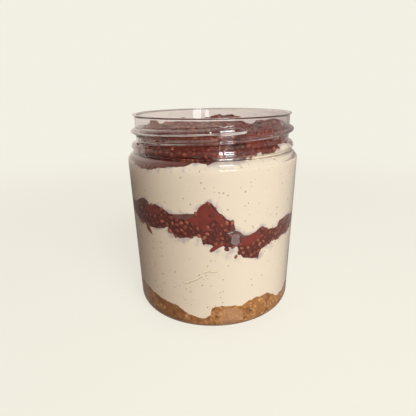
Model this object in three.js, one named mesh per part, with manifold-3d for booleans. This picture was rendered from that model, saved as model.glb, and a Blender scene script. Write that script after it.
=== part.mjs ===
// A clear screw-neck jar without its lid, filled in layers: crushed biscuit, cream,
// a band of seedy berry compote, cream again, and a heap of compote up to the rim.
// Millimetres, +Z up. The origin is the centre of the jar's foot, and -Y is the front.
// Azimuths are in degrees round the jar: 0 at the front, growing towards +X.

import * as THREE from 'three';
import { mergeVertices } from 'three/addons/utils/BufferGeometryUtils.js';
import Module from 'manifold-3d';

// Jar sizes
const JAR_HEIGHT = 87.1;
const BODY_R = 37;
const NECK_R = 32.8;
const WALL = 0.9;
const HEEL_R = 6.2;
const FOOT_INNER_R = 25;
const PUSH_UP = 2.0;
const SHOULDER_R = 4.2;
const SHOULDER_Z = 69.2;
const SHOULDER_SWEEP = 72;
const BEAD_R = 35.0;
const BEAD_LOW_Z = 73.4;
const BEAD_HIGH_Z = 76.7;
const BEAD_CHAMFER = 1.2;
const LIP_R = 33.6;
const LIP_HEIGHT = 0.9;
const JAR_SEGMENTS = 52;

// Screw thread: two starts opposite each other that climb to the right, the one that
// begins at the front left shorter than the other. Each has the number of jar segments
// that it covers. The section runs from the lower root over a narrow crest near it to the
// upper root: [share of the ridge's height, height over the crest line].
const THREAD_CREST_R = 34.8;
const THREAD_LEAD = 8.4;
const THREAD_START_SEGMENTS = [25, 38];
const THREAD_START_Z = 77.0;
const THREAD_SECTION = [[0, -1.7], [1, -0.6], [1, 0.1], [0, 2.1]];
const THREAD_FIRST_SEGMENT = -9;
const THREAD_TAPER_SEGMENTS = 2;

// Filling
const GAP = 0.3;
const FILL_SEGMENTS = 60;
const FILL_R = BODY_R - WALL - GAP;
const FILL_NECK_R = 31.5;
const FILL_NECK_Z = 72.4;
const INNER_RINGS = [14, 28];
const HEEL_BREAKS = [1.6, 2.5, 4.0];
const SHOULDER_BREAKS = [70.9, 71.9];
const HEAP_BREAK_Z = 75;
const ROW_STEP = 0.15;
const BERRY_INSET = 0.7;

// Heights of the layers at the wall. Each edge has a level, a sway that lowers it towards
// +X, and humps: [azimuth, rise, width to its left, width to its right].
const BISCUIT_EDGE = {
  level: 11.3,
  sway: 0,
  centre: 11.5,
  humps: [
    [-70, 5.0, 24, 19],
    [-29, 0.9, 6, 5],
    [-4, -5.9, 20, 2.2],
    [5, 1.0, 4, 7],
    [19.5, -1.6, 3, 3],
    [36, 3.0, 14, 9],
    [55, -3.6, 6, 7],
    [120, 2.4, 18, 22],
    [165, -2.6, 20, 16],
    [-145, 2.0, 18, 16],
    [-108, -2.0, 16, 14],
  ],
};
const BAND_LOW_EDGE = {
  level: 41.3,
  sway: 3.2,
  centre: 41,
  humps: [
    [-48, -1.8, 5, 5],
    [-33, 3.6, 5, 3],
    [-12, 1.8, 10, 5],
    [8, -2.2, 3, 3],
    [27, -5.6, 9, 3.5],
    [35, -2.4, 5, 7],
    [120, -2.2, 20, 16],
    [170, 1.8, 18, 18],
    [-130, -2.4, 20, 20],
    [-95, 1.5, 14, 12],
  ],
};
const BAND_HIGH_EDGE = {
  level: 49.6,
  sway: 4.3,
  centre: 48.5,
  humps: [
    [-54, 2.9, 9, 10],
    [-37, 2.2, 9, 9],
    [-14, 2.2, 12, 6],
    [-4, 7.6, 5, 11],
    [22, -4.0, 6, 7],
    [44, -2.4, 6, 5],
    [110, 3.0, 20, 18],
    [150, -2.5, 14, 16],
    [-150, 2.6, 20, 16],
    [-105, -2.4, 16, 14],
  ],
};
const CREAM_TOP_EDGE = {
  level: 71.9,
  sway: -2.3,
  centre: 72.2,
  humps: [
    [-48, -1.6, 9, 10],
    [-12, 0.6, 5, 12],
    [27, 0.9, 8, 14],
    [58, 1.5, 14, 30],
    [130, 1.2, 20, 20],
    [-160, -1.6, 24, 24],
    [-110, 1.2, 20, 20],
  ],
};

// Heap of compote: its height over the foot, and lumps [x, y, rise, radius]
const HEAP_TOP_Z = 84.2;
const HEAP_FALL = 2.6;
const HEAP_BACK_FALL = 3.6;
const HEAP_LUMPS = [
  [10, -3, 1.9, 7.2],
  [0, 1, 0.8, 5],
  [3, -12, 0.6, 8],
  [-22, -6, -1.2, 9],
  [-23.2, -13, 2.4, 4],
  [-12, -14, 1.6, 4.5],
  [-8.5, -4, -1.6, 5],
  [-19, 4, -2.4, 9],
  [16.5, -7, -3.2, 5],
  [17.5, 4, -2.8, 5.5],
  [19, 13, -2.4, 5.5],
  [24.4, -10, 2.2, 5],
  [21, -23, 1.2, 5.5],
];
const HEAP_RINGS = [29.6, 27.4, 24, 20.5, 17, 12.5, 7];
const HEAP_SIDE_R = 30.9;
const HEAP_INSET = 0.25;
const HEAP_EDGE_DROP = 1.3;
const HEAP_STAND_OFFS = [
  [-82, 3.0, 44, 17],
  [84, 2.8, 22, 60],
  [11, 1.8, 9, 5],
  [170, 1.2, 50, 50],
];

// Compote seeds
const SEED_SIZE = [2.3, 1.5, 1.3];
const SEED_SINK = 0.3;
const BAND_SEEDS = 52;
const HEAP_SIDE_SEEDS = 16;
const HEAP_TOP_SEEDS = 38;
const SEED_SPACING = 2.9;
const RANDOM_SEED = 7;

const wasm = await Module();
wasm.setup();

const radians = THREE.MathUtils.degToRad;
const clamp = THREE.MathUtils.clamp;
const lerp = THREE.MathUtils.lerp;

// A repeatable random number between 0 and 1
function randomFrom(seed) {
  let state = seed;
  return () => {
    state = (state * 1664525 + 1013904223) % 4294967296;
    return state / 4294967296;
  };
}

function polar(r, azimuth, z) {
  const angle = radians(azimuth);
  return new THREE.Vector3(r * Math.sin(angle), -r * Math.cos(angle), z);
}

function hump(azimuth, [at, rise, left, right]) {
  const away = THREE.MathUtils.euclideanModulo(azimuth - at + 180, 360) - 180;
  const width = away < 0 ? left : right;
  return rise * Math.exp(-((away / width) ** 2));
}

function edgeHeight(edge, azimuth) {
  const swayed = edge.level - edge.sway * Math.sin(radians(azimuth));
  return edge.humps.reduce((z, shape) => z + hump(azimuth, shape), swayed);
}

// Inside an interface the height eases from the wall to the value at the jar's axis.
// Outside the last inner ring it runs straight to the wall, so that two layers that
// stop at different radii still lie the same distance apart.
function interfaceHeight(edge, r, azimuth) {
  const atWall = edgeHeight(edge, azimuth);
  const lastRing = INNER_RINGS[INNER_RINGS.length - 1];
  const ease = (radius) => lerp(edge.centre, atWall, (radius / FILL_R) ** 2);
  if (r <= lastRing) {
    return ease(r);
  }
  return lerp(ease(lastRing), atWall, (r - lastRing) / (FILL_R - lastRing));
}

// Radius of the filling at a height: heel arc, straight wall, shoulder arc, neck
function fillRadius(z) {
  if (z < HEEL_R) {
    const arc = HEEL_R - WALL - GAP;
    const below = Math.min(HEEL_R - z, arc);
    return BODY_R - HEEL_R + Math.sqrt(arc ** 2 - below ** 2);
  }
  if (z <= SHOULDER_Z) {
    return FILL_R;
  }
  const arc = SHOULDER_R - WALL - GAP;
  const above = Math.min(z - SHOULDER_Z, arc);
  const onArc = BODY_R - SHOULDER_R + Math.sqrt(arc ** 2 - above ** 2);
  return z < FILL_NECK_Z ? onArc : FILL_NECK_R;
}

function arcPoints(centreR, centreZ, radius, from, to, steps) {
  return Array.from({ length: steps + 1 }, (_, i) => {
    const angle = radians(lerp(from, to, i / steps));
    const r = centreR + radius * Math.cos(angle);
    return new THREE.Vector2(r, centreZ + radius * Math.sin(angle));
  });
}

// Height of the domed foot above its resting ring
function pushUp(r) {
  return PUSH_UP * Math.max(0, 1 - (r / FOOT_INNER_R) ** 2);
}

// Lathe about +Z, with the azimuth as the lathe's own angle
function latheAboutZ(profile, segments) {
  return new THREE.LatheGeometry(profile, segments).rotateX(Math.PI / 2);
}

// One closed body: shared vertices merged and collapsed triangles dropped
function closedMesh(geometry) {
  geometry.deleteAttribute('normal');
  geometry.deleteAttribute('uv');
  const merged = mergeVertices(geometry, 1e-4);
  const index = merged.getIndex().array;
  const kept = [];
  for (let i = 0; i < index.length; i += 3) {
    const [a, b, c] = [index[i], index[i + 1], index[i + 2]];
    if (a !== b && b !== c && c !== a) {
      kept.push(a, b, c);
    }
  }
  merged.setIndex(kept);
  return merged;
}

function toManifold(geometry) {
  const closed = closedMesh(geometry);
  return new wasm.Manifold(new wasm.Mesh({
    numProp: 3,
    vertProperties: new Float32Array(closed.getAttribute('position').array),
    triVerts: new Uint32Array(closed.getIndex().array),
  }));
}

function fromManifold(solid) {
  const mesh = solid.getMesh();
  const geometry = new THREE.BufferGeometry();
  geometry.setAttribute('position', new THREE.BufferAttribute(mesh.vertProperties, 3));
  geometry.setIndex(new THREE.BufferAttribute(mesh.triVerts, 1));
  return geometry;
}

function named(name, geometry, color, roughness, extra = {}) {
  const material = new THREE.MeshStandardMaterial({ color, roughness, metalness: 0, ...extra });
  const mesh = new THREE.Mesh(geometry, material);
  mesh.name = name;
  return mesh;
}

// Jar
function jarProfile() {
  const heelCentre = BODY_R - HEEL_R;
  const shoulderCentre = BODY_R - SHOULDER_R;
  const neckInner = NECK_R - WALL;
  const footRs = [0, FOOT_INNER_R * 0.6, FOOT_INNER_R];
  const foot = footRs.map((r) => new THREE.Vector2(r, pushUp(r)));
  const floor = footRs.map((r) => new THREE.Vector2(r, pushUp(r) + WALL)).reverse();
  const lipTurn = LIP_HEIGHT / 3;
  return [
    ...foot,
    ...arcPoints(heelCentre, HEEL_R, HEEL_R, -90, 0, 5),
    ...arcPoints(shoulderCentre, SHOULDER_Z, SHOULDER_R, 0, SHOULDER_SWEEP, 4),
    new THREE.Vector2(BEAD_R, BEAD_LOW_Z + BEAD_CHAMFER),
    new THREE.Vector2(BEAD_R, BEAD_HIGH_Z - BEAD_CHAMFER),
    new THREE.Vector2(NECK_R, BEAD_HIGH_Z),
    new THREE.Vector2(NECK_R, JAR_HEIGHT - LIP_HEIGHT - lipTurn),
    new THREE.Vector2(LIP_R, JAR_HEIGHT - LIP_HEIGHT + lipTurn),
    new THREE.Vector2(LIP_R, JAR_HEIGHT),
    new THREE.Vector2(neckInner, JAR_HEIGHT),
    new THREE.Vector2(neckInner, FILL_NECK_Z + 0.4),
    ...arcPoints(shoulderCentre, SHOULDER_Z, SHOULDER_R - WALL, 90, 0, 4),
    ...arcPoints(heelCentre, HEEL_R, HEEL_R - WALL, 0, -90, 4),
    ...floor,
  ];
}

// A long bar bent into a helix round the neck. Its steps match the neck's facets, its back
// is sunk in the neck's wall, and both ends taper away.
function threadRidge(segments, start) {
  const bar = new THREE.BoxGeometry(segments, 3, 2, segments, 3, 1);
  const position = bar.getAttribute('position');
  const rootR = NECK_R - WALL / 2;
  const segment = 360 / JAR_SEGMENTS;
  const first = THREAD_FIRST_SEGMENT + (start * JAR_SEGMENTS) / THREAD_START_SEGMENTS.length;
  for (let i = 0; i < position.count; i += 1) {
    const step = Math.round(position.getX(i) + segments / 2);
    const [rise, height] = THREAD_SECTION[Math.round(position.getY(i) + 1.5)];
    const outside = position.getZ(i) > 0;
    const toEnd = Math.min(step, segments - step) / THREAD_TAPER_SEGMENTS;
    const proud = (THREAD_CREST_R - rootR) * rise * Math.min(toEnd, 1);
    const r = outside ? rootR + 0.1 + proud : rootR - 0.1;
    const z = THREAD_START_Z + (THREAD_LEAD * step) / JAR_SEGMENTS + height;
    const point = polar(r, (first + step) * segment, z);
    position.setXYZ(i, point.x, point.y, point.z);
  }
  return bar;
}

function jar() {
  const smooth = toManifold(latheAboutZ(jarProfile(), JAR_SEGMENTS));
  const ridges = THREAD_START_SEGMENTS.map(threadRidge);
  return fromManifold(ridges.reduce((solid, ridge) => solid.add(toManifold(ridge)), smooth));
}

// Filling layers
// A layer is a lathe whose points are moved by a rule: rows of [radius, height] from the
// axis along its underside, up its side and back to the axis along its top. On the top the
// quads are split along their other diagonal, so that the top matches the underside of
// the layer above it facet for facet.
function layerGeometry(rowsAt, topRow) {
  const rowCount = rowsAt(0).length;
  const blank = rowsAt(0).map(([r, z]) => new THREE.Vector2(r, z));
  const geometry = latheAboutZ(blank, FILL_SEGMENTS);
  const position = geometry.getAttribute('position');
  for (let column = 0; column <= FILL_SEGMENTS; column += 1) {
    const azimuth = ((column % FILL_SEGMENTS) * 360) / FILL_SEGMENTS;
    rowsAt(azimuth).forEach(([r, z], row) => {
      const point = polar(r, azimuth, z);
      position.setXYZ(column * rowCount + row, point.x, point.y, point.z);
    });
  }
  const index = geometry.getIndex();
  for (let column = 0; column < FILL_SEGMENTS; column += 1) {
    for (let row = topRow; row < rowCount - 1; row += 1) {
      const a = column * rowCount + row;
      const [b, c, d] = [a + rowCount, a + rowCount + 1, a + 1];
      const start = (column * (rowCount - 1) + row) * 6;
      [a, b, c, c, d, a].forEach((vertex, k) => index.setX(start + k, vertex));
    }
  }
  return geometry;
}

// Side heights between two edges that also stop at given breaks in the wall's curve
function sideHeights(low, high, breaks) {
  return breaks.map((z, k) => clamp(
    z,
    low + ROW_STEP * (k + 1),
    high - ROW_STEP * (breaks.length - k),
  ));
}

function undersideRows(edge, azimuth, sideR) {
  const inner = [0, ...INNER_RINGS];
  const rows = inner.map((r) => [r, interfaceHeight(edge, r, azimuth) + GAP / 2]);
  return [...rows, [sideR, interfaceHeight(edge, sideR, azimuth) + GAP / 2]];
}

function topRows(edge, azimuth, sideR) {
  const inner = [...INNER_RINGS].reverse().concat(0);
  const rows = inner.map((r) => [r, interfaceHeight(edge, r, azimuth) - GAP / 2]);
  return [[sideR, interfaceHeight(edge, sideR, azimuth) - GAP / 2], ...rows];
}

function biscuitBase() {
  const floor = [0, FOOT_INNER_R * 0.6, FOOT_INNER_R];
  const floorZ = WALL + GAP;
  const heelInner = BODY_R - HEEL_R;
  const rowsAt = (azimuth) => {
    const high = edgeHeight(BISCUIT_EDGE, azimuth) - GAP / 2;
    const side = sideHeights(floorZ, high, HEEL_BREAKS);
    return [
      ...floor.map((r) => [r, pushUp(r) + floorZ]),
      [heelInner, floorZ],
      ...side.map((z) => [fillRadius(z), z]),
      ...topRows(BISCUIT_EDGE, azimuth, fillRadius(high)),
    ];
  };
  return closedMesh(layerGeometry(rowsAt, floor.length + 1 + HEEL_BREAKS.length));
}

function creamLower() {
  const rowsAt = (azimuth) => {
    const low = edgeHeight(BISCUIT_EDGE, azimuth);
    return [
      ...undersideRows(BISCUIT_EDGE, azimuth, fillRadius(low)),
      [FILL_R, Math.max(low + GAP, HEEL_R) + 1],
      ...topRows(BAND_LOW_EDGE, azimuth, FILL_R),
    ];
  };
  return closedMesh(layerGeometry(rowsAt, INNER_RINGS.length + 3));
}

function creamUpper() {
  const breaks = [SHOULDER_Z, ...SHOULDER_BREAKS, FILL_NECK_Z];
  const rowsAt = (azimuth) => {
    const low = edgeHeight(BAND_HIGH_EDGE, azimuth);
    const high = edgeHeight(CREAM_TOP_EDGE, azimuth) - GAP / 2;
    const side = sideHeights(low + GAP, high, breaks);
    return [
      ...undersideRows(BAND_HIGH_EDGE, azimuth, FILL_R),
      ...side.map((z) => [fillRadius(z), z]),
      ...topRows(CREAM_TOP_EDGE, azimuth, fillRadius(high)),
    ];
  };
  return closedMesh(layerGeometry(rowsAt, INNER_RINGS.length + 2 + breaks.length));
}

// Low lumps in the side of the compote, which swell it towards the wall
function bandRadius(azimuth, z) {
  const ripple = Math.sin(radians(azimuth * 9) + z * 0.9) + Math.sin(radians(azimuth * 14) - z * 0.6);
  return FILL_R - BERRY_INSET + 0.12 * ripple;
}

function bandCore() {
  const rowsAt = (azimuth) => {
    const sideR = FILL_R - BERRY_INSET;
    const low = interfaceHeight(BAND_LOW_EDGE, sideR, azimuth) + GAP / 2;
    const high = interfaceHeight(BAND_HIGH_EDGE, sideR, azimuth) - GAP / 2;
    const side = [0.3, 0.7].map((t) => lerp(low, high, t));
    return [
      ...undersideRows(BAND_LOW_EDGE, azimuth, sideR),
      ...side.map((z) => [bandRadius(azimuth, z), z]),
      ...topRows(BAND_HIGH_EDGE, azimuth, sideR),
    ];
  };
  return layerGeometry(rowsAt, INNER_RINGS.length + 4);
}

// How far the heap stands off the neck's wall
function standOff(azimuth) {
  return HEAP_STAND_OFFS.reduce((gap, shape) => gap + hump(azimuth, shape), 0);
}

function heapSideRadius(azimuth, z) {
  const inNeck = THREE.MathUtils.smoothstep(z, FILL_NECK_Z, FILL_NECK_Z + 3);
  const pulledIn = (FILL_NECK_R - HEAP_SIDE_R + standOff(azimuth)) * inNeck;
  const lump = 0.12 * Math.sin(radians(azimuth * 11) + z);
  return fillRadius(z) - HEAP_INSET + lump - pulledIn;
}

function heapHeight(x, y) {
  const r = Math.hypot(x, y);
  const dome = HEAP_TOP_Z - HEAP_FALL * (r / HEAP_SIDE_R) ** 2;
  const back = HEAP_BACK_FALL * THREE.MathUtils.smoothstep(y, 4, 24);
  const grain = 0.3 * Math.sin(x * 0.9 + 1) * Math.sin(y * 0.8) + 0.2 * Math.sin(x * 0.5 - y * 1.3);
  const lumps = HEAP_LUMPS.reduce((sum, [lumpX, lumpY, rise, radius]) => {
    const away = Math.hypot(x - lumpX, y - lumpY) / radius;
    return sum + rise * Math.exp(-(away ** 2));
  }, 0);
  return dome - back + grain + lumps;
}

function heapTopPoint(r, azimuth) {
  const point = polar(r, azimuth, 0);
  return [r, heapHeight(point.x, point.y)];
}

function heapCore() {
  const breaks = [...SHOULDER_BREAKS, FILL_NECK_Z, HEAP_BREAK_Z];
  const rowsAt = (azimuth) => {
    const low = edgeHeight(CREAM_TOP_EDGE, azimuth) + GAP / 2;
    const rim = heapTopPoint(HEAP_SIDE_R - standOff(azimuth), azimuth);
    const high = rim[1] - HEAP_EDGE_DROP;
    const shrink = (HEAP_SIDE_R - standOff(azimuth)) / HEAP_SIDE_R;
    const side = [...sideHeights(low, high, breaks), high];
    return [
      ...undersideRows(CREAM_TOP_EDGE, azimuth, fillRadius(low) - HEAP_INSET),
      ...side.map((z) => [heapSideRadius(azimuth, z), z]),
      ...HEAP_RINGS.map((r) => heapTopPoint(r * shrink, azimuth)),
      heapTopPoint(0, azimuth),
    ];
  };
  return layerGeometry(rowsAt, INNER_RINGS.length + breaks.length + 3);
}

// A seed lying flat on a surface, turned by an angle, with its outer side proud
function seedAt(point, outward, turn) {
  const [length, width, height] = SEED_SIZE;
  const seed = new THREE.IcosahedronGeometry(0.5, 0);
  seed.scale(length, width, height);
  const upright = new THREE.Quaternion().setFromUnitVectors(new THREE.Vector3(0, 0, 1), outward);
  const turned = new THREE.Quaternion().setFromAxisAngle(new THREE.Vector3(0, 0, 1), turn);
  seed.applyQuaternion(upright.multiply(turned));
  const centre = point.clone().addScaledVector(outward, -SEED_SINK);
  return seed.translate(centre.x, centre.y, centre.z);
}

// Random places from a rule that are at least one spacing apart
function scattered(count, random, place) {
  const places = [];
  for (let tries = 0; tries < count * 40 && places.length < count; tries += 1) {
    const found = place(random);
    if (found && places.every((other) => other.point.distanceTo(found.point) > SEED_SPACING)) {
      places.push(found);
    }
  }
  return places;
}

function bandSeedPlace(random) {
  const azimuth = random() * 360;
  const margin = SEED_SIZE[0] / 2 + GAP;
  const low = edgeHeight(BAND_LOW_EDGE, azimuth) + margin;
  const high = edgeHeight(BAND_HIGH_EDGE, azimuth) - margin;
  const neighbours = [-4, 4].map((step) => azimuth + step);
  const z = lerp(low, high, random());
  const clearOfCream = neighbours.every((near) => (
    z > edgeHeight(BAND_LOW_EDGE, near) + GAP && z < edgeHeight(BAND_HIGH_EDGE, near) - GAP
  ));
  if (high < low || !clearOfCream) {
    return null;
  }
  return { point: polar(bandRadius(azimuth, z), azimuth, z), outward: polar(1, azimuth, 0) };
}

function heapSideSeedPlace(random) {
  const azimuth = random() * 360;
  const low = Math.max(edgeHeight(CREAM_TOP_EDGE, azimuth), FILL_NECK_Z) + 2.2;
  const rim = heapTopPoint(HEAP_SIDE_R - standOff(azimuth), azimuth)[1];
  const high = rim - HEAP_EDGE_DROP - SEED_SIZE[1] / 2;
  const z = lerp(low, high, random());
  if (high < low) {
    return null;
  }
  return { point: polar(heapSideRadius(azimuth, z), azimuth, z), outward: polar(1, azimuth, 0) };
}

function heapTopSeedPlace(random) {
  const azimuth = random() * 360;
  const reach = HEAP_SIDE_R - standOff(azimuth) - 3;
  const point = polar(reach * Math.sqrt(random()), azimuth, 0);
  point.z = heapHeight(point.x, point.y);
  const step = 0.5;
  const slopeX = (heapHeight(point.x + step, point.y) - point.z) / step;
  const slopeY = (heapHeight(point.x, point.y + step) - point.z) / step;
  return { point, outward: new THREE.Vector3(-slopeX, -slopeY, 1).normalize() };
}

function withSeeds(core, places, random) {
  const seeded = places.reduce((solid, { point, outward }) => {
    const seed = seedAt(point, outward, random() * Math.PI);
    return solid.add(toManifold(seed));
  }, toManifold(core));
  return fromManifold(seeded);
}

function berryLayer() {
  const random = randomFrom(RANDOM_SEED);
  return withSeeds(bandCore(), scattered(BAND_SEEDS, random, bandSeedPlace), random);
}

function berryTopping() {
  const random = randomFrom(RANDOM_SEED + 1);
  const places = [
    ...scattered(HEAP_SIDE_SEEDS, random, heapSideSeedPlace),
    ...scattered(HEAP_TOP_SEEDS, random, heapTopSeedPlace),
  ];
  return withSeeds(heapCore(), places, random);
}

const dessert = new THREE.Group();
dessert.add(
  named('jar', jar(), 0xe9ecec, 0.06, { transparent: true, opacity: 0.3 }),
  named('biscuit_base', biscuitBase(), 0xa4713f, 0.85),
  named('cream_lower', creamLower(), 0xf2e4ca, 0.5),
  named('berry_layer', berryLayer(), 0x7a2c25, 0.35),
  named('cream_upper', creamUpper(), 0xf2e4ca, 0.5),
  named('berry_topping', berryTopping(), 0x7d2d26, 0.3),
);

export default dessert;
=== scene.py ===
"""Cheesecake trifle cup: a clear screw-neck jar layered with biscuit, cream and seedy compote.

Lengths are in millimetres until a mesh is made, and azimuths are in degrees round the jar:
0 at the front (-Y), growing towards +X.
"""
import math

import bpy
import numpy as np
from mathutils import Matrix, Vector, noise


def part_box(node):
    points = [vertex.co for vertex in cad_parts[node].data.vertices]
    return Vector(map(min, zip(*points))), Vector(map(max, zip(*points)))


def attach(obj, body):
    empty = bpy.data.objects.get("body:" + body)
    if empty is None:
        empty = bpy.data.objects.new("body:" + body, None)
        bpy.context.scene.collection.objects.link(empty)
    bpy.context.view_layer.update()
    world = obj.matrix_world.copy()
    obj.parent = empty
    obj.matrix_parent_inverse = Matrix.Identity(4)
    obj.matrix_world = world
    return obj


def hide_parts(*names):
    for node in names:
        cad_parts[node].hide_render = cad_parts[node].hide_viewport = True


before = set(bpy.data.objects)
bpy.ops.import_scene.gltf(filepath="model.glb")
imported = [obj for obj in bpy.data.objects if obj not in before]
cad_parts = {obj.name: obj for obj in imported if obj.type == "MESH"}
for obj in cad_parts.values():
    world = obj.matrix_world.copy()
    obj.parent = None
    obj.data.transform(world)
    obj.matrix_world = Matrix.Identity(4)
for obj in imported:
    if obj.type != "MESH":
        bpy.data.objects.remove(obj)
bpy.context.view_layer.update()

MM = 0.001
jar_corner = np.array(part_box("jar")[1]) / MM

# Jar
JAR_HEIGHT = float(jar_corner[2])
BODY_R = float(jar_corner[0])
NECK_R = 32.8
WALL = 0.9
HEEL_R = 6.2
FOOT_INNER_R = 25.0
PUSH_UP = 2.0
SHOULDER_R = 4.2
SHOULDER_Z = 69.2
SHOULDER_EDGE_Z = 69.9
SHOULDER_BULGE = 0.2
BEAD_FOOT_Z = 72.3
# The bead's profile from the notch over the shoulder up to the neck, as (radius, height)
BEAD = (
    (34.03, 73.1), (33.88, 73.42), (35.05, 74.5), (34.95, 75.0), (34.82, 75.33), (34.62, 75.6),
    (34.48, 75.95), (32.8, 76.7),
)
BEAD_ROUNDING = 0.12
LIP_R = 33.45
LIP_HEIGHT = 0.8
LIP_EDGE = 0.3
JAR_COLUMNS = 220
# Steps of the jar's outline: fine on the neck, coarse elsewhere
NECK_STEP = 0.13
WALL_STEP = 3.0
# How much lower the hollows inside the bead and the thread lie
BEAD_HOLLOW_DROP = 0.15
THREAD_HOLLOW_DROP = 0.35

# Screw thread: two starts (azimuth, height, degrees swept) that climb to the right
THREAD_LEAD = 8.4
THREAD_STARTS = ((-62.3, 77.5, 174.0), (117.7, 76.7, 267.0))
# The section of each: heights from the crest, and how far it stands proud there
THREAD_SECTIONS = (
    ((-1.7, -1.1, -0.25, 0.05, 0.45, 1.2, 1.7), (0, 0.35, 1.85, 2.0, 1.97, 0.4, 0)),
    ((-1.7, -1.1, -0.35, -0.05, 0.85, 1.3, 1.7), (0, 0.35, 1.9, 2.0, 1.6, 0.35, 0)),
)
THREAD_ROUNDING = 0.16
# Degrees over which an end of a ridge fades away, and how far before it its hollow ends
THREAD_TAPER = 9.0
THREAD_SOLID_END = 17.0

# Filling. Each layer reaches a little way into the jar's wall, so that no air gap shows.
# Depths are measured inwards from the jar's outer surface.
CREAM_DEPTH = 0.80
BISCUIT_DEPTH = 0.66
COMPOTE_DEPTH = 0.76
SEED_DEPTH = 0.34
FILL_COLUMNS = 720
BISCUIT_ROWS = 56
CREAM_ROWS = 104
BAND_ROWS = 90
HEAP_ROWS = 52
# How far the cream runs on behind the other layers, and how far those cover its edges
HIDDEN_OVERLAP = 1.6
HEAP_OVERLAP = 0.7
EDGE_COVER = 0.4
# Rings that close a layer above and below, as shares of its radius
INNER_SHARES = (0.75, 0.4)
# Relief of the layers where they meet the wall. A lip draws an edge back from it: by its
# own depth, over its width. The heap's lip is as wide as it is deep.
LIP_WIDTH = 0.5
BISCUIT_LIP = 0.55
BAND_LIP = 0.32
HEAP_LIP = 0.6
CRUMB_RELIEF = 0.12
CRUMB_SIZE = 0.9
# Lumps of the band: (rise, size, seed of the noise)
BAND_LUMPS = ((0.09, 1.4, 43), (0.07, 3.5, 44))
PRESSED_RISE = 0.16
POCKET_DROP = 0.12

# Edges of the layers at the wall. In front each is a line of (azimuth, height). Behind, it is
# a level, a sway that lowers it towards +X, and humps (azimuth, rise, width to its left, width
# to its right). The centre is its height at the jar's axis.
BISCUIT_EDGE = {
    "level": 11.3,
    "sway": 0.0,
    "centre": 11.5,
    "humps": ((120, 2.4, 18, 22), (165, -2.6, 20, 16), (-145, 2.0, 18, 16), (-108, -2.0, 16, 14)),
    "front": (
        (-72, 16.0), (-64, 15.2), (-51, 14.0), (-42, 12.4), (-34, 12.0), (-26, 11.0),
        (-20, 8.5), (-12, 6.9), (-6.6, 6.4), (-2.9, 8.0), (-1.8, 11.8), (0, 12.2), (7, 12.8),
        (16, 12.3), (19, 11.9), (24, 13.4), (30, 14.3), (41, 14.4), (48, 11.4), (51, 9.9),
        (61, 10.2), (70, 13.0),
    ),
}
BAND_LOW_EDGE = {
    "level": 41.3,
    "sway": 3.2,
    "centre": 41.0,
    "humps": ((120, -2.2, 20, 16), (170, 1.8, 18, 18), (-130, -2.4, 20, 20), (-95, 1.5, 14, 12)),
    "front": (
        (-72, 48.6), (-65, 48.2), (-61, 46.9), (-56, 45.7), (-53, 46.2), (-48, 46.4),
        (-45, 45.7), (-42, 45.4), (-35, 46.3), (-31, 47.5), (-29.8, 47.4), (-29.3, 45.8),
        (-27, 45.4), (-25.5, 43.8), (-17, 43.8), (-14, 44.3), (-11, 44.8), (-8, 44.6),
        (-7.2, 42.6), (-5, 41.6), (-1.2, 41.4), (0, 40.6), (2.3, 40.4), (3.8, 41.4), (6, 40.7),
        (8, 39.0), (9.5, 40.1), (13, 39.9), (15.2, 39.6), (16.2, 36.8), (19.5, 34.5),
        (23, 34.2), (28, 33.1), (30.4, 33.0), (31.1, 36.4), (33, 37.0), (38, 38.0), (42, 39.2),
        (49, 38.7), (51, 39.7), (61, 39.6), (72, 42.4),
    ),
}
BAND_HIGH_EDGE = {
    "level": 49.6,
    "sway": 4.3,
    "centre": 48.5,
    "humps": ((110, 3.0, 20, 18), (150, -2.5, 14, 16), (-150, 2.6, 20, 16), (-105, -2.4, 16, 14)),
    "front": (
        (-72, 53.4), (-62, 54.2), (-57.5, 55.6), (-51.7, 56.8), (-48, 56.7), (-44, 55.3),
        (-38, 55.4), (-34, 54.8), (-31, 53.9), (-26, 52.9), (-18.6, 53.4), (-11.3, 53.8),
        (-10.2, 54.6), (-9.1, 55.8), (-7.5, 56.9), (-5.6, 57.8), (-3, 58.3), (-1, 58.2),
        (0.4, 57.0), (1.8, 55.9), (3.3, 54.3), (5.9, 53.1), (8, 51.5), (11.8, 50.9),
        (12.8, 49.6), (13.4, 47.5), (16.7, 46.2), (20.6, 44.2), (23.4, 44.1), (28, 45.3),
        (30.5, 46.5), (32.7, 46.8), (37.3, 45.0), (44, 44.5), (47, 45.0), (48.3, 47.0),
        (55, 47.4), (60, 47.6), (69, 46.6),
    ),
}
CREAM_TOP_EDGE = {
    "level": 71.9,
    "sway": -2.3,
    "centre": 72.2,
    "humps": ((130, 1.2, 20, 20), (-160, -1.6, 24, 24), (-110, 1.2, 20, 20)),
    "front": (
        (-66, 70.4), (-54, 69.2), (-47, 68.6), (-41, 68.9), (-35, 69.8), (-24, 70.4), (-17, 70.9),
        (-14.4, 71.7), (-12, 72.3), (-3.9, 72.2), (-3.0, 71.5), (-1.9, 71.9), (3, 72.4), (12, 72.0),
        (16, 72.4), (18.7, 72.5), (19.8, 73.5), (25, 74.0), (28.4, 74.6), (37, 74.2), (42, 74.5),
        (47, 75.2), (52, 76.0), (62, 75.4),
    ),
}
EDGE_BLEND = 10.0
# Ripples of the edges behind: (waves round the jar, rise)
EDGE_RIPPLES = ((11, 0.5), (23, 0.4), (41, 0.3))

# Where juice has run far into the cream under the band, as outlines of (azimuth, height)
JUICY_CREAM = (
    ((-30, 46), (-31, 42), (-20, 39.5), (-10, 40), (-8, 46)),
    ((0, 41), (-1, 36), (8, 33), (14, 31), (17, 33), (17, 41)),
    ((30, 38), (31, 33), (38, 33), (46, 37), (44, 40)),
)
# Where the biscuit is baked darker, and where paler: azimuth, strength, width to either side
BISCUIT_TOAST = ((-32, 1.0, 13, 17), (-64, -1.0, 20, 9))
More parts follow.
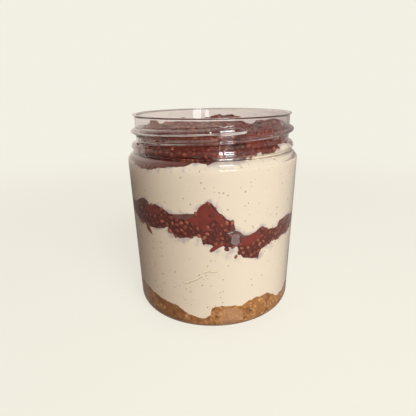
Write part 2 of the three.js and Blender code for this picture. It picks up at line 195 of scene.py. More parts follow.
# Fat smeared over the biscuit, as an outline of (azimuth, height)
BISCUIT_SMEAR = (
    (3.5, 9.5), (6.0, 11.0), (13.0, 11.6), (19.0, 9.6), (20.5, 5.2), (15.0, 2.6), (7.0, 2.8),
    (3.8, 5.5),
)
# Compote pressed smooth against the wall, as outlines of (azimuth, height)
PRESSED_PATCHES = (
    (
        (-9.8, 54.8), (-8.0, 57.0), (-4.5, 58.0), (-1.0, 56.6), (2.5, 54.0), (6.5, 51.4),
        (9.0, 49.0), (5.0, 48.6), (2.0, 50.6), (-0.6, 51.8), (-2.6, 50.4), (-4.5, 48.4),
        (0.7, 47.3), (-5.9, 47.1), (-10.4, 48.8), (-15.6, 50.6), (-19.0, 51.6), (-10.2, 53.0),
    ),
    (
        (16.6, 41.4), (18.0, 43.2), (23.5, 44.4), (28.5, 44.6), (32.6, 43.2), (30.5, 41.6),
        (25.1, 40.6), (20.5, 39.6), (17.4, 39.8),
    ),
    ((-50.5, 53.0), (-46.0, 54.8), (-39.5, 54.9), (-34.2, 53.6), (-38.5, 52.0), (-46.0, 51.4)),
    ((-27.0, 52.6), (-20.0, 53.4), (-12.4, 53.8), (-16.0, 51.8), (-24.9, 50.9)),
)
# An air pocket in the band: clear at its middle, painted shade at its left, and a wet film round it
AIR_POCKET = (
    (11.0, 44.6), (12.2, 45.2), (14.9, 45.2), (16.8, 44.2), (16.7, 42.5), (16.3, 40.8),
    (14.1, 40.4), (11.8, 40.8), (10.6, 42.0),
)
POCKET_SHADE = (
    (6.2, 47.0), (8.7, 46.7), (10.5, 44.9), (11.2, 43.9), (10.8, 42.0), (8.8, 42.1), (7.0, 42.9),
    (8.0, 45.0),
)
# Painted shade along the pocket's right edge, as a line of (azimuth, height)
POCKET_EDGE_SHADE = ((16.8, 44.2), (16.9, 42.3), (16.2, 40.1))
# Thin wet films where little compote lies against the wall
WET_FILMS = (
    (
        (8.7, 46.4), (10.5, 47.1), (13.0, 47.5), (15.6, 47.0), (19.0, 45.4), (21.5, 43.9),
        (19.9, 43.5), (16.8, 44.1), (14.5, 45.1), (12.2, 45.1), (10.5, 44.9), (9.4, 45.3),
    ),
    (
        (-25.6, 52.7), (-18.7, 53.4), (-11.4, 53.9), (-10.8, 53.3), (-13.4, 52.4), (-15.4, 51.6),
        (-18.8, 51.3), (-22.3, 51.2), (-25.1, 51.9),
    ),
    (
        (-68, 54.2), (-63.2, 54.3), (-57.4, 55.8), (-51.0, 57.1), (-46.2, 56.7), (-45.4, 55.3),
        (-49.0, 55.0), (-53.3, 54.2), (-58.7, 53.0), (-68.2, 51.2),
    ),
    (
        (52.5, 46.8), (56.5, 47.9), (68.8, 47.2), (74, 45.9), (73.1, 43.9), (63.3, 44.5),
        (57.4, 44.9), (54.9, 43.8), (51.5, 44.2),
    ),
)
# Glints on the film, as lines
GLINTS = (
    ((8.4, 45.9), (12.3, 46.2)),
    ((9.1, 45.4), (11.2, 45.0)),
    ((13.0, 47.0), (16.0, 46.3), (20.2, 44.3)),
)
# Half the width of a glint, and of the painted shade along the pocket's right edge
GLINT_WIDTH = 0.13
EDGE_SHADE_WIDTH = 0.25
# Tails of jelly that run down from the band: (azimuth, height) of each point, and radii
TAILS = (
    (((7.4, 41.5), (3.8, 40.8), (0.5, 39.8), (-2.3, 38.4)), (0.75, 0.7, 0.85, 1.3)),
    (((-49.6, 46.6), (-47.9, 44.6), (-46.0, 43.3), (-44.1, 42.1)), (1.35, 1.15, 0.8, 0.3)),
)

# Heap of compote in the neck: a dome that falls to its edge and farther to the back
HEAP_TOP_Z = 84.2
HEAP_FALL = 2.6
HEAP_BACK_FALL = 3.6
HEAP_EDGE_DROP = 1.3
# Its lumps and hollows: (x, y, rise, radius)
HEAP_LUMPS = (
    (10.0, -3, 1.9, 7.2),
    (0.0, 1, 0.8, 4.5),
    (3, -12, 0.6, 8),
    (-22, -6, -1.6, 9),
    (-23.2, -13, 3.7, 2.8),
    (-17.4, -15, 2.4, 2.6),
    (-12.0, -14, 2.5, 2.7),
    (-7.4, -12, 1.4, 2.6),
    (-8.5, -4, -2.0, 5),
    (-19, 4, -3.0, 9),
    (-11.5, 6, -2.4, 5),
    (14.8, -9, -5.6, 2.9),
    (15.6, -1, -4.8, 2.9),
    (16.4, 6, -3.8, 3.6),
    (17.2, 13, -3.8, 4.6),
    (13.8, -19, -3.0, 2.9),
    (24.4, -10, 2.4, 4.4),
    (21, -23, 1.6, 5),
)
# Gaps between heap and neck: (azimuth, gap, width to its left, width to its right)
HEAP_STAND_OFFS = (
    (-82, 3.0, 44, 17),
    (84, 2.8, 22, 60),
    (14, 2.7, 9, 3.2),
    (170, 1.2, 50, 50),
)
# The gaps open upwards in two steps: (share, from height, to height)
STAND_OFF_STEPS = ((0.45, 70.8, 73.0), (0.55, 75.0, 79.0))
# Berry lumps, and the heights between which they rise from the heap's side
HEAP_LUMP_SIZE = 5.6
HEAP_LUMP_RISE = 1.5
LUMPS_FROM, LUMPS_FULL = 73.0, 77.0
# Where the heap lies smooth against the neck, as an outline of (azimuth, height). Its lighter
# red there is partly painted light, for a side that lies less in shadow
HEAP_PATCH = (
    (22, 81.5), (22, 77.3), (27, 76.1), (33, 77), (38, 78.4), (46, 79.8), (44, 81.2), (38, 82),
    (30, 82.4),
)
HEAP_PATCH_SHARE = 0.6
# Hollows in the heap's side: (azimuth, height, depth, half width in degrees, half height)
HEAP_HOLLOWS = (
    (16.5, 77.0, 2.4, 6, 1.3),
    (-34, 79.5, 1.0, 6, 1.6),
    (42, 77.4, 0.9, 4, 1.2),
)

# Seeds of the compote
SEED_LENGTH = 2.55
SEED_WIDTH = 1.75
SEED_THICKNESS = 1.25
BAND_SEEDS = 470
HEAP_SIDE_SEEDS = 720
HEAP_TOP_SEEDS = 420
SEED_SPACING = 1.75
SEED_PROUD = 0.34
# Heights between which the shoulder turns too flat for a seed to stand against it, and how
# much deeper seeds lie below it
SHOULDER_TURN = (70.4, 72.7)
SHOULDER_SINK = 0.27
# Share of places under the thread and in the smooth patch that may have a seed
SHELTERED_CHANCE = 0.5
CANDIDATES = 6000
# Loose seeds in the cream under the band: (azimuth, height)
LOOSE_SEEDS = ((8.2, 39.1), (14.2, 35.5), (21.3, 35.2), (29.2, 34.2))
# Seeds that stand out in the front of the band: (azimuth, height)
FRONT_SEEDS = (
    (-2.8, 57.6), (0.9, 55.7), (-27.4, 51.4), (-20.3, 49.7), (-30.4, 50.2), (-39.2, 48.0),
    (-37.6, 52.2), (-1.2, 53.4), (1.9, 51.2), (5.0, 49.2), (8.2, 50.2), (11.4, 50.0), (11.2, 47.9),
    (-12.8, 46.1), (-18.3, 45.5), (-24.5, 44.1), (-28.5, 45.8), (-6.5, 47.2), (-5.7, 42.3),
    (0.4, 45.5), (4.3, 45.9), (8.1, 43.5), (8.4, 41.0), (30.9, 39.4), (27.2, 38.4), (32.4, 37.6),
    (36.5, 38.6), (42.5, 39.8), (48.6, 39.7), (45.1, 41.8), (32.9, 45.6), (29.6, 44.4),
    (39.3, 43.4), (50.0, 45.9), (61.3, 42.6), (-47.1, 55.0), (-31.7, 53.0), (-49.7, 51.8),
    (1.3, 41.6), (-2.7, 43.0),
)
# Creases that show in the lower cream, as lines of (azimuth, height), each with a painted
# highlight along it and a painted shadow above it
CREASES = (
    ((-20.6, 23.3), (-17.5, 24.0), (-14.8, 25.0), (-11.5, 26.0), (-9.4, 27.2)),
    ((-9.4, 27.2), (-7.8, 27.6), (-6.6, 26.2)),
    ((-6.8, 29.2), (-4.0, 29.9), (-1.2, 29.6), (1.8, 29.6)),
    ((-16.6, 19.6), (-15.4, 20.2)),
    ((-20.9, 16.3), (-20.1, 15.7)),
    ((-39.6, 18.6), (-38.9, 17.2)),
    ((-46.9, 20.1), (-45.6, 20.8)),
    ((-28.5, 20.6), (-26.8, 21.6)),
)
# A crease's half width and rise, and the half width and distance of the shadow above it
CREASE_WIDTH = 0.4
CREASE_RISE = 0.12
CREASE_SHADOW_WIDTH = 0.35
CREASE_SHADOW_ABOVE = 0.55


# Shapes that all layers use
def smoothstep(low, high, value):
    """0 up to the first bound, 1 from the second, with a smooth rise between them."""
    share = np.clip((value - low) / (high - low), 0.0, 1.0)
    return share * share * (3.0 - 2.0 * share)


def hump(azimuth, at, rise, left, right):
    """A bell whose widths to its left and right differ."""
    away = (azimuth - at + 180.0) % 360.0 - 180.0
    width = np.where(away < 0, left, right)
    return rise * np.exp(-((away / width) ** 2))


def edge_height(edge, azimuth):
    """Height of a layer's edge: its line in front, its humps and ripples behind."""
    away = (np.asarray(azimuth, float) + 180.0) % 360.0 - 180.0
    behind = edge["level"] - edge["sway"] * np.sin(np.radians(away))
    behind = behind + sum(hump(away, *shape) for shape in edge["humps"])
    behind = behind + sum(
        rise * np.sin(np.radians(away * waves) + edge["level"] * waves)
        for waves, rise in EDGE_RIPPLES
    )
    ats, heights = zip(*edge["front"])
    near = np.minimum(away - ats[0], ats[-1] - away)
    share = smoothstep(-EDGE_BLEND, 0.0, near)
    return behind + (np.interp(away, ats, heights) - behind) * share


def polar(radius, azimuth, height):
    """Points (x, y, z) of a radius, an azimuth and a height."""
    angle = np.radians(azimuth)
    height = np.broadcast_to(height, np.shape(radius * angle))
    return np.stack((radius * np.sin(angle), -radius * np.cos(angle), height), axis=-1)


def wander(points, size, seed):
    """Smooth noise from about -1 to 1 whose features are size across."""
    shift = Vector((seed * 17.3, seed * 5.1, seed * 9.7))
    flat = np.asarray(points, float).reshape(-1, 3) / size
    values = [noise.noise(Vector(point) + shift) for point in flat]
    return np.array(values).reshape(np.shape(points)[:-1])


def on_wall(azimuth, height):
    """Millimetres along the wall and up it, warped a little so that outlines look torn."""
    away = (np.asarray(azimuth, float) + 180.0) % 360.0 - 180.0
    points = polar(BODY_R, away, height)
    shift = 0.28 * wander(points, 1.7, 61)
    rise = 0.28 * wander(points, 1.7, 62)
    return np.stack((np.radians(away) * BODY_R + shift, np.asarray(height, float) + rise))


def line_distance(place, line):
    """Distance from wall positions to the nearest part of a line of (azimuth, height)."""
    u, v = place
    points = [(math.radians(azimuth) * BODY_R, height) for azimuth, height in line]
    nearest = np.full(u.shape, np.inf)
    for (u0, v0), (u1, v1) in zip(points, points[1:]):
        length = (u1 - u0) ** 2 + (v1 - v0) ** 2
        share = np.clip(((u - u0) * (u1 - u0) + (v - v0) * (v1 - v0)) / length, 0, 1)
        apart = np.hypot(u - u0 - share * (u1 - u0), v - v0 - share * (v1 - v0))
        nearest = np.minimum(nearest, apart)
    return nearest


def ridge(place, lines, width):
    """1 along any of some lines on the wall, fading away over a width."""
    nearest = np.min([line_distance(place, line) for line in lines], axis=0)
    return np.exp(-((nearest / width) ** 2))


def in_outline(place, outline):
    """1 inside a closed outline on the wall, 0 outside it, with an edge 0.3 mm wide."""
    u, v = place
    closed = (*outline, outline[0])
    inside = np.zeros(u.shape, bool)
    points = [(math.radians(at) * BODY_R, up) for at, up in closed]
    for (u0, v0), (u1, v1) in zip(points, points[1:]):
        if v0 != v1:
            crosses = (v0 > v) != (v1 > v)
            inside ^= crosses & (u < (u1 - u0) * (v - v0) / (v1 - v0) + u0)
    distance = line_distance(place, closed)
    return smoothstep(-0.15, 0.15, np.where(inside, distance, -distance))


def push_up(radius):
    """Height of the domed foot above its resting ring."""
    return PUSH_UP * np.maximum(0.0, 1.0 - (radius / FOOT_INNER_R) ** 2)


def wall_radius(height, depth):
    """Radius at a depth under the jar's outer surface: heel, wall, shoulder, bead, neck."""
    height = np.asarray(height, float)
    heel = HEEL_R - depth
    below = np.clip(HEEL_R - height, 0.0, heel)
    radius = BODY_R - HEEL_R + np.sqrt(heel**2 - below**2)
    arc = SHOULDER_R - depth
    above = np.clip(height - SHOULDER_Z, 0.0, arc)
    shoulder = BODY_R - SHOULDER_R + np.sqrt(arc**2 - above**2)
    slope = np.interp(height, (SHOULDER_EDGE_Z, BEAD[0][1]), (BODY_R, BEAD[0][0]))
    shoulder = np.minimum(shoulder, slope)
    radius = np.where(height > SHOULDER_Z, shoulder, radius)
    bead = np.interp(height, [z for _, z in BEAD], [r for r, _ in BEAD]) - depth
    return np.where(height > BEAD_FOOT_Z, np.maximum(radius, bead), radius)


# Meshes
def piece(name, vertices, faces, material, node, slot, **values):
    """A finished piece in metres, with a number for each vertex under each given name."""
    mesh = bpy.data.meshes.new(name)
    mesh.from_pydata((np.asarray(vertices) * MM).tolist(), [], faces)
    for label, numbers in values.items():
        layer = mesh.attributes.new(label, "FLOAT", "POINT")
        layer.data.foreach_set("value", np.asarray(numbers, np.float32).ravel())
    mesh.validate()
    mesh.shade_smooth()
    mesh.materials.append(material)
    return mounted(placed(name, mesh), node)


def placed(name, data):
    """A new object in the scene, at the origin."""
    made = bpy.data.objects.new(name, data)
    bpy.context.scene.collection.objects.link(made)
    return made


def mounted(made, node):
    """A piece that rides on the one body, in place of a node's plain solid."""
    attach(made, "root")
    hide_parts(node)
    return made


def ring_quads(rows, columns):
    """Quads between rings of points."""
    start = (np.arange(rows - 1)[:, None] * columns + np.arange(columns)).ravel()
    turn = (np.arange(rows - 1)[:, None] * columns + (np.arange(columns) + 1) % columns).ravel()
    return np.stack((start, turn, turn + columns, start + columns), axis=1).tolist()


def ring_faces(rows, columns):
    """Quads between rings of points, and a fan to the axis point at each end."""
    here = np.arange(columns)
    after = (here + 1) % columns
    low, high = rows * columns, rows * columns + 1
    last = (rows - 1) * columns
    under = [[low, b, a] for a, b in zip(here.tolist(), after.tolist())]
    over = [[high, last + a, last + b] for a, b in zip(here.tolist(), after.tolist())]
    return ring_quads(rows, columns) + under + over


def revolved(name, radii, heights, azimuth, ends, material, node, slot, **values):
    """A closed body of rings. The rows run from the axis under it to the axis over it."""
    points = polar(radii, azimuth[None, :], heights).reshape(-1, 3)
    axis_points = np.array([[0.0, 0.0, ends[0]], [0.0, 0.0, ends[1]]])
    vertices = np.concatenate((points, axis_points))
    whole = {
        label: np.concatenate((np.ravel(numbers), np.zeros(2)))
        for label, numbers in values.items()
    }
    faces = ring_faces(len(radii), len(azimuth))
    return piece(name, vertices, faces, material, node, slot, **whole)


def columns_of(count):
    """Azimuths of evenly spaced columns."""
    return np.arange(count) * 360.0 / count


# Jar
def filleted(corners):
    """Outline through (radius, height, fillet) corners, with each fillet as an arc."""
    points = []
    for index, (r, z, fillet) in enumerate(corners):
        corner = Vector((r, z))
        if fillet == 0 or index in (0, len(corners) - 1):
            points.append(corner)
            continue
        before = (Vector(corners[index - 1][:2]) - corner).normalized()
        after = (Vector(corners[index + 1][:2]) - corner).normalized()
        half = before.angle(after) / 2
        reach = fillet / math.tan(half)
        centre = corner + (before + after).normalized() * fillet / math.sin(half)
        first = corner + before * reach - centre
        last = corner + after * reach - centre
        turned = first.angle(last)
        steps = max(3, round(math.degrees(turned) / 7))
        for step in range(steps + 1):
            share = step / steps
            weight_a = math.sin((1 - share) * turned) / math.sin(turned)
            weight_b = math.sin(share * turned) / math.sin(turned)
            points.append(centre + first * weight_a + last * weight_b)
    return points


def jar_corners():
    """The jar's outline from the axis round its outside and back inside to the axis."""
    body_inner = BODY_R - WALL
    foot = [(r, float(push_up(r)), 0) for r in np.linspace(0.05, FOOT_INNER_R, 9)]
    foot_inside = [(r, z + WALL, 0) for r, z, _ in reversed(foot)]
    edge, notch = Vector((BODY_R, SHOULDER_EDGE_Z)), Vector(BEAD[0])
    outward = Vector((notch.y - edge.y, edge.x - notch.x)).normalized()
    shoulder = [
        (*(edge.lerp(notch, share) + outward * SHOULDER_BULGE * 4 * share * (1 - share)), 0)
        for share in np.linspace(0.14, 0.88, 9)
    ]
    bead = [(r, z, BEAD_ROUNDING) for r, z in BEAD]
    bead_inside = [
        (r - WALL, z - BEAD_HOLLOW_DROP, BEAD_ROUNDING) for r, z in reversed(BEAD)
    ]
    return [
        *foot,
        (BODY_R, 0.0, HEEL_R),
        (*edge, 0.5),
        *shoulder,
        *bead,
        (NECK_R, JAR_HEIGHT - LIP_HEIGHT, 0.4),
        (LIP_R, JAR_HEIGHT - LIP_EDGE, 0.15),
        (LIP_R, JAR_HEIGHT, 0.15),
        (NECK_R - WALL, JAR_HEIGHT, 0.35),
        *bead_inside,
        (body_inner, SHOULDER_Z + SHOULDER_R - WALL, SHOULDER_R - WALL - 0.3),
        (body_inner, WALL, HEEL_R - WALL),
        *foot_inside,
    ]


def thread_rise(azimuth, height, margin=0.0):
    """How far the two thread ridges stand proud of the neck, with their section's corners rounded.
    They end that margin, in degrees, before their full sweep."""
    rise = np.zeros(np.broadcast(azimuth, height).shape)
    for (first, start_z, sweep), section in zip(THREAD_STARTS, THREAD_SECTIONS):
        swept = (azimuth - first) % 360.0
        over = height - (start_z + THREAD_LEAD * swept / 360.0)
        shifts = (-THREAD_ROUNDING, 0.0, THREAD_ROUNDING)
        proud = sum(np.interp(over + shift, *section) for shift in shifts) / len(shifts)
        ends = smoothstep(0, THREAD_TAPER, swept)
        ends = ends * smoothstep(margin, margin + THREAD_TAPER, sweep - swept)
        rise = np.maximum(rise, proud * ends)
    return rise


def jar_shell(material):
    """The jar, whose thread ridges are hollow inside like the bead."""
    outline = filleted(jar_corners())
    foot_of_thread = BEAD[-1][1] - 0.3
    rows = [outline[0]]
    for before, after in zip(outline, outline[1:]):
        step = NECK_STEP if min(before.y, after.y) >= foot_of_thread else WALL_STEP
        count = max(1, math.ceil((after - before).length / step))
        rows += [before.lerp(after, (k + 1) / count) for k in range(count)]
    radius = np.array([[row.x] for row in rows])
    height = np.array([[row.y] for row in rows])
    azimuth = columns_of(JAR_COLUMNS)
    fade = smoothstep(JAR_HEIGHT - LIP_HEIGHT, JAR_HEIGHT - LIP_HEIGHT - 0.6, height)
    rise = thread_rise(azimuth[None, :], height) * fade
    outside = (radius > NECK_R - 0.1) & (height > foot_of_thread)
    inside = (np.abs(radius - NECK_R + WALL) < 0.5) & (height > foot_of_thread)
    radii = np.where(outside, np.maximum(radius, NECK_R + rise), radius)
    hollow = thread_rise(azimuth[None, :], height + THREAD_HOLLOW_DROP, THREAD_SOLID_END) * fade
    radii = np.where(inside, np.maximum(radius, NECK_R - WALL + hollow), radii)
    heights = np.broadcast_to(height, radii.shape)
    ends = (float(height[0, 0]), float(height[-1, 0]))
    return revolved("jar_shell", radii, heights, azimuth, ends, material, "jar", "clear_plastic")


# Filling
def ragged(edge, azimuth, coarse, fine, seed):
    """An edge's height with lumps 4 mm and 1.5 mm long."""
    height = edge_height(edge, azimuth)
    points = polar(BODY_R, azimuth, height * 0)
    return height + coarse * wander(points, 4.0, seed) + fine * wander(points, 1.5, seed + 1)


def side_grid(low, high, rows, bend=1.0):
    """Heights from one edge up to another in rows, and the azimuth beside each."""
    side_z = low + (high - low) * np.linspace(0.0, 1.0, rows)[:, None] ** bend
    return side_z, np.broadcast_to(columns_of(FILL_COLUMNS), side_z.shape)


def closing_rings(ring_r, ring_z, axis_z):
    """Rings inside a given one, easing to a height on the axis."""
    return [(ring_r * share, ring_z * share + axis_z * (1 - share)) for share in INNER_SHARES]


def stacked(rows):
    """Radii and heights of a list of rings, one row for each."""
    return np.array([r for r, _ in rows]), np.array([z for _, z in rows])


def capped(side_r, side_z, under_z, over_z):
    """A side with the rings that close it below and above."""
    under = closing_rings(side_r[0], side_z[0], under_z)
    over = closing_rings(side_r[-1], side_z[-1], over_z)
    return stacked([*reversed(under), *zip(side_r, side_z), *over])


def padded(shares):
    """Values of a side, with a row of zeros for each ring that closes it."""
    spare = np.zeros((len(INNER_SHARES), FILL_COLUMNS))
    return np.concatenate((spare, shares, spare))


def biscuit_fill(material):
    """The crumb layer, on the inside of the domed foot."""
    azimuth = columns_of(FILL_COLUMNS)
    top = ragged(BISCUIT_EDGE, azimuth, coarse=0.45, fine=0.5, seed=3) + EDGE_COVER
    floor_z = WALL - 0.1
    floor_r = np.linspace(6.0, BODY_R - HEEL_R, 14)
    side_z, around = side_grid(floor_z, top, BISCUIT_ROWS, 1.2)
    side_r = wall_radius(side_z, BISCUIT_DEPTH)
    smear = in_outline(on_wall(around, side_z), BISCUIT_SMEAR)
    crumbs = (1 - smear) * wander(polar(side_r, around, side_z), CRUMB_SIZE, 11)
    lip = smoothstep(LIP_WIDTH, 0.0, top - side_z)
    side_r = side_r + CRUMB_RELIEF * crumbs - BISCUIT_LIP * lip
    level = np.ones(FILL_COLUMNS)
    under = [(r * level, (floor_z + push_up(r)) * level) for r in floor_r]
    over_z = BISCUIT_EDGE["centre"]
    over = closing_rings(side_r[-1], side_z[-1], over_z)
    radii, heights = stacked([*under, *zip(side_r[1:], side_z[1:]), *over])
    toasted = sum(hump(azimuth, *shape) for shape in BISCUIT_TOAST)
    smeared = np.zeros(radii.shape)
    smeared[len(under):len(under) + len(smear) - 1] = smear[1:]
    return revolved(
        "biscuit_crumb", radii, heights, azimuth, (floor_z + PUSH_UP, over_z), material,
        "biscuit_base", "biscuit", smear=smeared, toast=np.broadcast_to(toasted, radii.shape),
    )


def cream_bleed(azimuth, height, edges):
    """Juice that bleeds from the compote's edges, fading over about 2 mm, with smudges."""
    place = on_wall(azimuth, height)
    nearest = np.min([np.abs(height - edge_height(edge, azimuth)) for edge in edges], axis=0)
    nearest = np.min([nearest, *(line_distance(place, edge["front"]) for edge in edges)], axis=0)
    points = polar(BODY_R, azimuth, height)
    patchy = 0.75 + 1.2 * wander(points, 3.0, 21) + 0.6 * wander(points, 1.1, 22)
    smudges = smoothstep(0.30, 0.55, wander(points, 2.0, 23)) * np.exp(-nearest / 2.0)
    juicy = np.max([in_outline(place, outline) for outline in JUICY_CREAM], axis=0)
    reach = 1.2 + 2.6 * juicy
    return np.exp(-nearest / reach) * np.clip(patchy, 0.2, 1.6) + 0.5 * smudges


def cream_fill(name, node, low_edge, high_edge, low_shift, high_shift, stained, material):
    """A cream layer. Beyond its edges it draws back from the wall, behind its neighbours."""
    azimuth = columns_of(FILL_COLUMNS)
    low = edge_height(low_edge, azimuth)
    high = edge_height(high_edge, azimuth)
    side_z, around = side_grid(low + low_shift, high + high_shift, CREAM_ROWS)
    beyond = np.maximum(low - side_z, side_z - high)
    side_r = wall_radius(side_z, CREAM_DEPTH) - 0.8 * smoothstep(0.3, 1.3, beyond)
    place = on_wall(around, side_z)
    # The crease mask also carries a painted highlight, and the mask shifted from it a painted
    # shadow
    crease = ridge(place, CREASES, CREASE_WIDTH)
    shifted = place + np.array([0.0, CREASE_SHADOW_ABOVE])[:, None, None]
    dent = ridge(shifted, CREASES, CREASE_SHADOW_WIDTH) * (1 - crease)
    waves = 0.015 * wander(polar(side_r, around, side_z), 5.0, 31)
    side_r = side_r + waves + CREASE_RISE * crease
    ends = (low_edge["centre"], high_edge["centre"])
    radii, heights = capped(side_r, side_z, *ends)
    bleed = cream_bleed(np.broadcast_to(azimuth, radii.shape), heights, stained)
    return revolved(
        name, radii, heights, azimuth, ends, material, node, "cream",
        bleed=bleed, crease=padded(crease), dent=padded(dent),
    )


def pressed_share(azimuth, height):
    """Where the compote lies smooth against the wall: named patches in front, chance behind."""
    place = on_wall(azimuth, height)
    shares = [in_outline(place, patch) for patch in PRESSED_PATCHES]
    by_chance = smoothstep(0.20, 0.26, wander(polar(BODY_R, azimuth, height), 8.0, 41))
    behind = np.abs((azimuth + 180) % 360 - 180) > 62
    return np.max([*shares, by_chance * behind], axis=0)


def band_fill(material):
    """The compote band: lumpy, but flush with the wall where it is pressed smooth."""
    azimuth = columns_of(FILL_COLUMNS)
    low = ragged(BAND_LOW_EDGE, azimuth, coarse=0.22, fine=0.24, seed=5) - EDGE_COVER
    high = ragged(BAND_HIGH_EDGE, azimuth, coarse=0.15, fine=0.2, seed=7) + EDGE_COVER
    side_z, around = side_grid(low, high, BAND_ROWS)
    base = wall_radius(side_z, COMPOTE_DEPTH)
    points = polar(base, around, side_z)
    place = on_wall(around, side_z)
    pressed = pressed_share(around, side_z)
    pocket = in_outline(place, AIR_POCKET)
    edge_shade = ridge(place, (POCKET_EDGE_SHADE,), EDGE_SHADE_WIDTH)
    marks = {
        "pressed": pressed,
        "pocket": pocket,
        # The shade mark is painted shade in the pocket and along its right edge; the glint mark is
        # painted glints
        "shade": np.maximum(in_outline(place, POCKET_SHADE), edge_shade),
        "film": np.max([in_outline(place, film) for film in WET_FILMS], axis=0),
        "glint": ridge(place, GLINTS, GLINT_WIDTH),
    }
    lumps = sum(rise * wander(points, size, seed) for rise, size, seed in BAND_LUMPS)
    lip = smoothstep(LIP_WIDTH, 0.0, np.minimum(side_z - low, high - side_z))
    side_r = base + (1 - pressed) * lumps + PRESSED_RISE * pressed - BAND_LIP * lip
    side_r = side_r - POCKET_DROP * pocket
    ends = (BAND_LOW_EDGE["centre"], BAND_HIGH_EDGE["centre"])
    radii, heights = capped(side_r, side_z, *ends)
    return revolved(
        "compote_band", radii, heights, azimuth, ends, material, "berry_layer", "compote",
        **{label: padded(shares) for label, shares in marks.items()},
    )


def heap_height(x, y):
    """Height of the heap's top over a place, without its berry lumps."""
    radius = np.hypot(x, y)
    dome = HEAP_TOP_Z - HEAP_FALL * (radius / NECK_R) ** 2
    back = HEAP_BACK_FALL * smoothstep(4, 24, y)
    lumps = sum(
        rise * np.exp(-(np.hypot(x - lump_x, y - lump_y) / reach) ** 2)
        for lump_x, lump_y, rise, reach in HEAP_LUMPS
    )
    return dome - back + lumps


def stand_off(azimuth):
    """Gap between the heap's upper part and the neck."""
    return sum(hump(azimuth, *shape) for shape in HEAP_STAND_OFFS)


def heap_side_radius(azimuth, height):
    """Side of the heap: against the wall low down, standing off the neck where it has room."""
    opened = sum(share * smoothstep(low, high, height) for share, low, high in STAND_OFF_STEPS)
    radius = wall_radius(height, COMPOTE_DEPTH) - stand_off(azimuth) * opened
    for at_azimuth, at_height, depth, half_width, half_height in HEAP_HOLLOWS:
        away = (azimuth - at_azimuth + 180) % 360 - 180
        near = (away / half_width) ** 2 + ((height - at_height) / half_height) ** 2
        radius = radius - depth * np.exp(-near)
    return radius


def heap_relief(points):
    """Rounded berry lumps with creases between them, and finer lumps over those."""
    flat = np.asarray(points, float).reshape(-1, 3)
    warp = np.stack([wander(flat, 3.5, seed) for seed in (71, 72, 73)], axis=1)
    cells = (flat + 1.2 * warp) / HEAP_LUMP_SIZE
    nearest = np.array([noise.voronoi(Vector(cell))[0][0] for cell in cells])
    domes = HEAP_LUMP_RISE * (0.42 - np.minimum(nearest, 0.85) ** 1.5)
    fine = 0.30 * wander(flat, 1.9, 52)
    return (domes + fine).reshape(np.shape(points)[:-1])


def heap_rim(azimuth):
    """Radius and height where the heap's side turns over into its top."""
    radius = NECK_R - COMPOTE_DEPTH - stand_off(azimuth)
    edge = polar(radius, azimuth, 0.0)
    return radius, heap_height(edge[..., 0], edge[..., 1]) - HEAP_EDGE_DROP


def heap_fill(material):
    """The heap: its side up from the cream's edge, and its top inwards from its rim."""
    azimuth = columns_of(FILL_COLUMNS)
    low = ragged(CREAM_TOP_EDGE, azimuth, coarse=0.35, fine=0.3, seed=9) - EDGE_COVER
    _, rim_z = heap_rim(azimuth)
    side_z, around = side_grid(low, rim_z, HEAP_ROWS)
    side_r = heap_side_radius(around, side_z)
    relief = heap_relief(polar(side_r, around, side_z))
    limit = wall_radius(side_z, COMPOTE_DEPTH - 0.15)
    side_r = np.minimum(side_r + relief * smoothstep(LUMPS_FROM, LUMPS_FULL, side_z), limit)
    side_r = side_r - HEAP_LIP * smoothstep(HEAP_LIP, 0.0, side_z - low)
    shares = np.concatenate((np.linspace(0.985, 0.9, 8), np.linspace(0.885, 0.03, 76)))
    shares = shares[:, None]
    top_r = side_r[-1] * shares
    around = np.broadcast_to(azimuth, top_r.shape)
    over = polar(top_r, around, 0.0)
    turned = smoothstep(1.0, 0.93, shares)
    top_z = heap_height(over[..., 0], over[..., 1]) - HEAP_EDGE_DROP * (1 - turned)
    top_z = top_z + heap_relief(polar(top_r, around, top_z)) * turned
    ends = (CREAM_TOP_EDGE["centre"], float(np.mean(top_z[-1])))
    under = reversed(closing_rings(side_r[0], side_z[0], ends[0]))
    radii, heights = stacked([*under, *zip(side_r, side_z), *zip(top_r, top_z)])
    around = np.broadcast_to(azimuth, radii.shape)
    outer = radii > NECK_R - 4.5
    return revolved(
        "compote_heap", radii, heights, azimuth, ends, material, "berry_topping", "compote",
        # The smooth patch's lighter red is partly painted light, on the side that lies less in
        # shadow
        pressed=HEAP_PATCH_SHARE * in_outline(on_wall(around, heights), HEAP_PATCH) * outer,
    )


# Seeds
def spaced(count, points, outwards, first=()):
    """The first candidates that keep one spacing from those before them and from given ones."""
    kept = list(first)
    taken = np.array([point for point, _ in kept]).reshape(-1, 3)
    for point, outward in zip(points, outwards):
        if len(kept) >= count:
            break
        if len(taken) and np.min(np.sum((taken - point) ** 2, axis=1)) < SEED_SPACING**2:
            continue
        kept.append((point, outward))
        taken = np.concatenate((taken, point[None]))
    return kept


def seeds_on_wall(azimuth, height):
    """Seeds pressed against the wall, each with its crown just inside the plastic."""
    azimuth, height = np.asarray(azimuth, float), np.asarray(height, float)
    radius = wall_radius(height, SEED_DEPTH) - SEED_THICKNESS / 2
    return polar(radius, azimuth, height), polar(1.0, azimuth, height * 0)


def band_seeds():
    """The seeds that stand out in front, and chance ones where the band isn't smooth."""
    front = np.array((*FRONT_SEEDS, *LOOSE_SEEDS))
    first = list(zip(*seeds_on_wall(front[:, 0], front[:, 1])))
    rng = np.random.default_rng(1)
    azimuth = rng.uniform(0, 360, CANDIDATES)
    low = edge_height(BAND_LOW_EDGE, azimuth)
    high = edge_height(BAND_HIGH_EDGE, azimuth)
    height = low + (high - low - 0.3) * rng.uniform(0, 1, CANDIDATES)
    place = on_wall(azimuth, height)
    bare = [in_outline(place, outline) for outline in (AIR_POCKET, *WET_FILMS[:2])]
    free = np.max([pressed_share(azimuth, height), *bare], axis=0) < 0.3
    return spaced(BAND_SEEDS, *seeds_on_wall(azimuth[free], height[free]), first)


